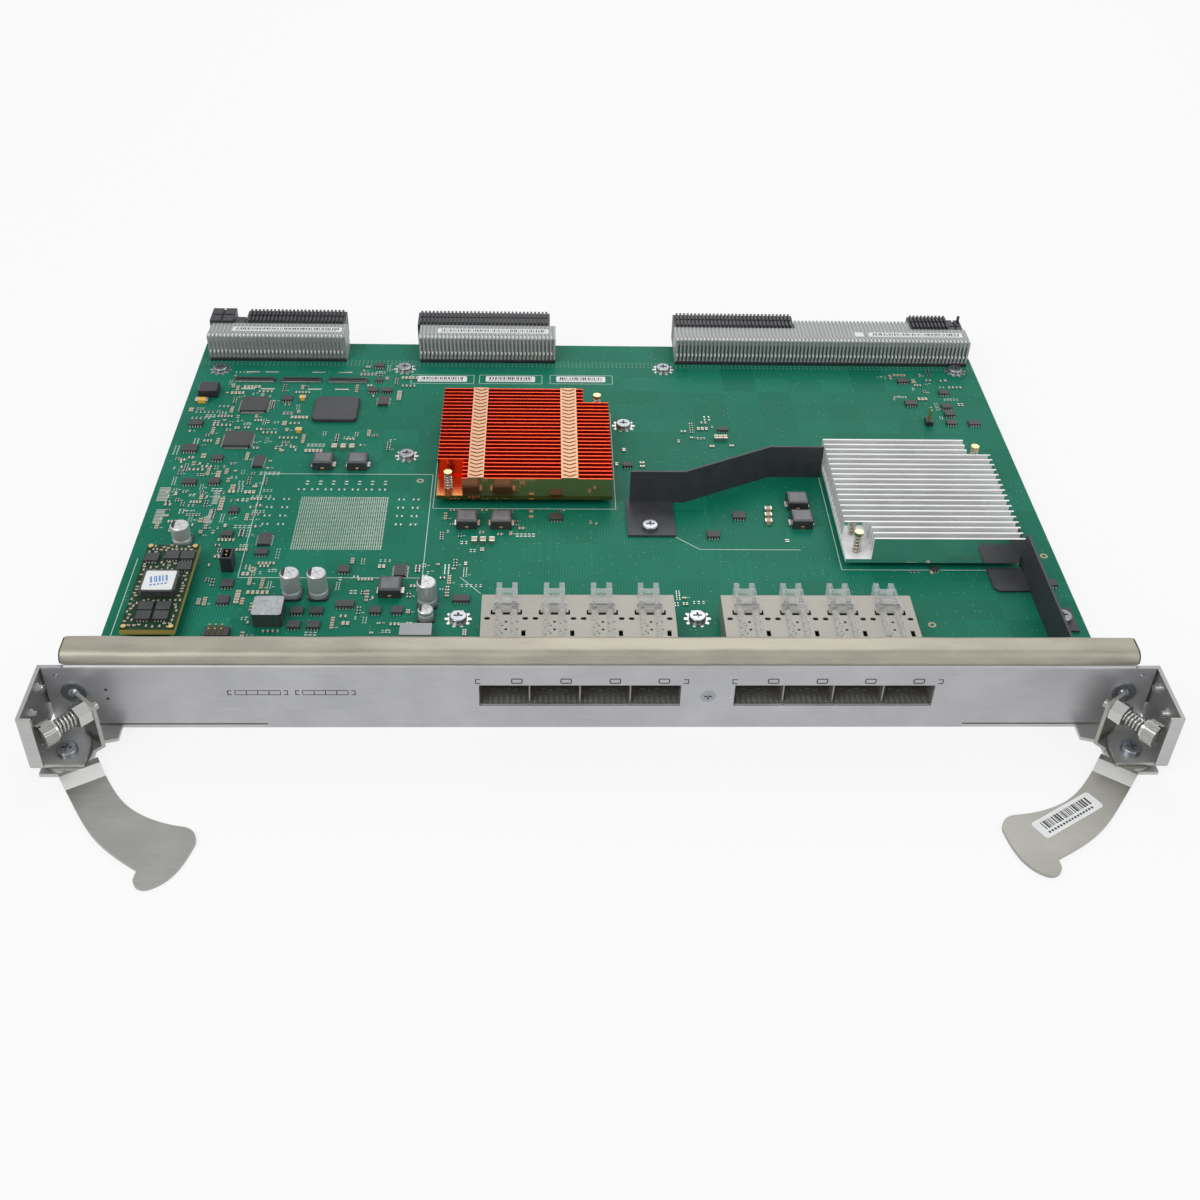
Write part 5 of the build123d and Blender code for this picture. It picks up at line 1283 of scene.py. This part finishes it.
# %% Ends of the larger ceramic and tantalum parts
caps, cap_sizes = [], []
for node in ("ceramic_parts", "tantalum_parts"):
    for low, high in solids(node):
        middle, size = (low + high) / 2, high - low
        pair, sizes = end_caps(middle[None], size, int(size[1] > size[0]), 0.22, 0.40, 0.06)
        caps += pair
        cap_sizes.append(sizes)
piece("large_part_ends", *bricks(np.concatenate(caps), np.concatenate(cap_sizes), 0.08), "tinned")
print("ends:", len(caps))

# %% [markdown]
# ## The power module's top
# The module's own board is crowded with small parts between its chips, and it has yellow
# solder lugs at its corners.

# %% Module parts
low, high = solids("power_module_board")[0]
deck = high[2]
blocked = np.concatenate([module_boxes, solids("power_module_core")])
spots = []
for _ in range(900):
    spot = np.array([random.uniform(low[0] + 1, high[0] - 1), random.uniform(low[1] + 1, high[1] - 1)])
    inside = ((spot > blocked[:, 0, :2] - 1.3) & (spot < blocked[:, 1, :2] + 1.3)).all(1).any()
    near = any(np.abs(spot - other).max() < 1.5 for other in spots)
    if not inside and not near:
        spots.append(spot)
spots = np.array(spots)
angle = np.where(random.random(len(spots)) < 0.5, 0, np.pi / 2)
middles = spread(spots[:, 0], spots[:, 1], deck + 0.3)
shift = np.stack([np.cos(angle), np.sin(angle), 0 * angle], -1) * 0.5
ends = np.concatenate([middles - shift, middles + shift])
piece("module_small_parts", *bricks(middles, [0.7, 0.7, 0.6], 0, angle), "ceramic")
piece("module_small_ends", *bricks(ends, [0.35, 0.75, 0.66], 0, np.tile(angle, 2)), "tinned")
lugs = [[x, y, deck + 0.3] for x in (low[0] + 1.6, high[0] - 1.6) for y in (low[1] + 1.6, high[1] - 1.6)]
piece("module_lugs", *discs(lugs, 1.1, 0.5, 20), "gold_plate")
print("parts on the module:", len(spots))

# %% [markdown]
# ## Springs of the captive screws
# Each coil stands between the hexagonal ferrule and the washer, and the washer squeezes it
# when the screw is pushed in. A rigid coil would poke through the washer there. A new coil
# stands for the solid one, wound along the screw's own axis, and rides on the lever.

# %% Coils
COIL_TURNS, COIL_RADIUS, COIL_WIRE = 5, 2.9, 0.35


def coil(start, way, long, per_turn=24, sides=8):
    """A ring of wire carried along a helix. A point of the helix is the start, plus its share
    of the length along the axis, plus the radius times the cosine and the sine of its turn
    along two directions square to the axis."""
    level = np.cross(way, (0, 0, 1.0))
    turn = np.linspace(0, COIL_TURNS, per_turn * COIL_TURNS + 1)
    angle = 2 * np.pi * turn[:, None]
    spoke = np.cos(angle) * level + np.sin(angle) * np.cross(level, way)
    line = start + np.outer(turn / COIL_TURNS * long, way) + COIL_RADIUS * spoke
    rise = np.gradient(line, axis=0)
    across = np.cross(rise / np.linalg.norm(rise, axis=1)[:, None], spoke)
    around = np.linspace(0, 2 * np.pi, sides, endpoint=False)[None, :, None]
    ring = np.cos(around) * spoke[:, None] + np.sin(around) * across[:, None]
    faces = grid_faces(len(line), sides, False, True).tolist()
    ends = [list(range(sides))[::-1], list(range((len(line) - 1) * sides, len(line) * sides))]
    return line[:, None] + COIL_WIRE * ring, faces + ends


joints = {joint["name"]: joint for joint in frame["joints"]}
for side in ("left", "right"):
    node = f"{side}_screw_spring"
    spin, travel = joints[f"{side}_screw_spin"], joints[f"{side}_screw_travel"]
    way = -np.array(travel["axis"], float)
    hub = np.array(spin["pos_m"], float) / MM
    height = (np.array([v.co for v in frame["nodes"][node].data.vertices]) / MM - hub) @ way
    low, whole = height.min(), height.max() - height.min()
    wire = coil(hub + (low + COIL_WIRE) * way, way, whole - 2 * COIL_WIRE)
    made = piece(f"{side}_coil", *wire, "bright_steel", f"{side}_lever", smooth=True)
    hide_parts(node)
    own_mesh(made)

# %% [markdown]
# ## Chevrons on the copper sink
# The two pale strips across the fins are folded tabs that lock into each other, so each
# pitch shows the dark slit between two tabs as an arrow head. The slit's darkness is painted
# shade: one chevron is a flat bent bar of dark copper, repeated at every gap.

# %% Chevrons
TABS_PER_STRIP = 25


def chevrons(middles, wide, arm, bar, thick):
    """Two slanted bars that meet in a point at the front, for every middle."""
    slant, length = np.arctan2(arm, wide / 2), np.hypot(arm, wide / 2)
    size = [length, bar, thick]
    left = bricks(middles + [-wide / 4, 0, 0], size, 0.06, -slant)
    return joined(left, bricks(middles + [wide / 4, 0, 0], size, 0.06, slant))


arrows = []
for low, high in solids("copper_tabs"):
    ys = np.linspace(low[1] + 2.0, high[1] - 2.0, TABS_PER_STRIP)
    arrows.append(spread((low[0] + high[0]) / 2, ys, high[2] + 0.02))
# The chevrons are painted shade: flat dark bars where the slits between the tabs fall into shadow
piece("tab_chevrons", *chevrons(np.concatenate(arrows), 6.0, 1.5, 0.7, 0.16), "copper_shade")
print("chevrons:", TABS_PER_STRIP * len(arrows))

# %% [markdown]
# ## Light and floor
# The lamps stand for a plain studio: the world gives an even fill, one large soft lamp
# stands front left, a weaker one right and one behind for the rims. The floor is pale, and
# what the camera sees of it is lifted to white while its shadow is kept.

# %% Stage


def lit_floor(reach=4000.0, under=-0.3):
    """A wide flat sheet just under the blade."""
    points = [[-reach, -reach, under], [reach, -reach, under], [reach, reach, under], [-reach, reach, under]]
    mesh = bpy.data.meshes.new("floor")
    mesh.from_pydata((np.array(points) * MM).tolist(), [], [[0, 1, 2, 3]])
    made = bpy.data.objects.new("floor", mesh)
    bpy.context.scene.collection.objects.link(made)
    finish = Finish("floor_white", 0.9)
    finish.feed(Base_Color=(0.86, 0.86, 0.86, 1))
    glow = finish.add("ShaderNodeEmission", None, {"Color": (1, 1, 1, 1), "Strength": 1.0})
    body = Wire(finish, finish.shader.outputs[0])
    finish.end_in("Material Output", finish.seen()[1] * 0.80, body, glow)
    mesh.materials.append(finish.material)


lit_floor()
world = bpy.data.worlds.new("studio")
bpy.context.scene.world = world
world.use_nodes = True
studio = Graph(world.node_tree)
fill = studio.tree.nodes["Background"]
fill.inputs["Color"].default_value = (0.94, 0.97, 1.0, 1)
fill.inputs["Strength"].default_value = 0.55
camera_ray, seen = studio.seen()
# The camera sees a world of strength 1, and metal reflects one of 0.8
bright = {"Color": (1, 1, 1, 1), "Strength": camera_ray.times_plus(0.2, 0.8)}
white = studio.add("ShaderNodeBackground", None, bright)
studio.end_in("World Output", seen, Wire(studio, fill.outputs[0]), white)


def soft_lamp(name, spot, size, watts):
    """A square lamp that faces the middle of the blade."""
    lamp = bpy.data.lights.new(name, "AREA")
    lamp.size = size
    lamp.energy = watts
    made = bpy.data.objects.new(name, lamp)
    made.location = spot
    aim = Vector((0, 0.1, 0.01)) - Vector(spot)
    made.rotation_euler = aim.to_track_quat("-Z", "Y").to_euler()
    bpy.context.scene.collection.objects.link(made)
    return made


soft_lamp("key", (-0.9, -0.7, 1.3), 0.9, 9.0)
soft_lamp("fill", (1.1, -0.5, 0.9), 0.9, 3.5)
soft_lamp("rim", (0.2, 1.2, 1.1), 0.8, 5.0)
bpy.context.scene.view_settings.view_transform = "Standard"

# %% Measure and finish

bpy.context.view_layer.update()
meshes = [thing.data for thing in bpy.data.objects if thing.type == "MESH"]
triangles = sum(len(face.vertices) - 2 for mesh in meshes for face in mesh.polygons)
print("triangles in the scene:", triangles)
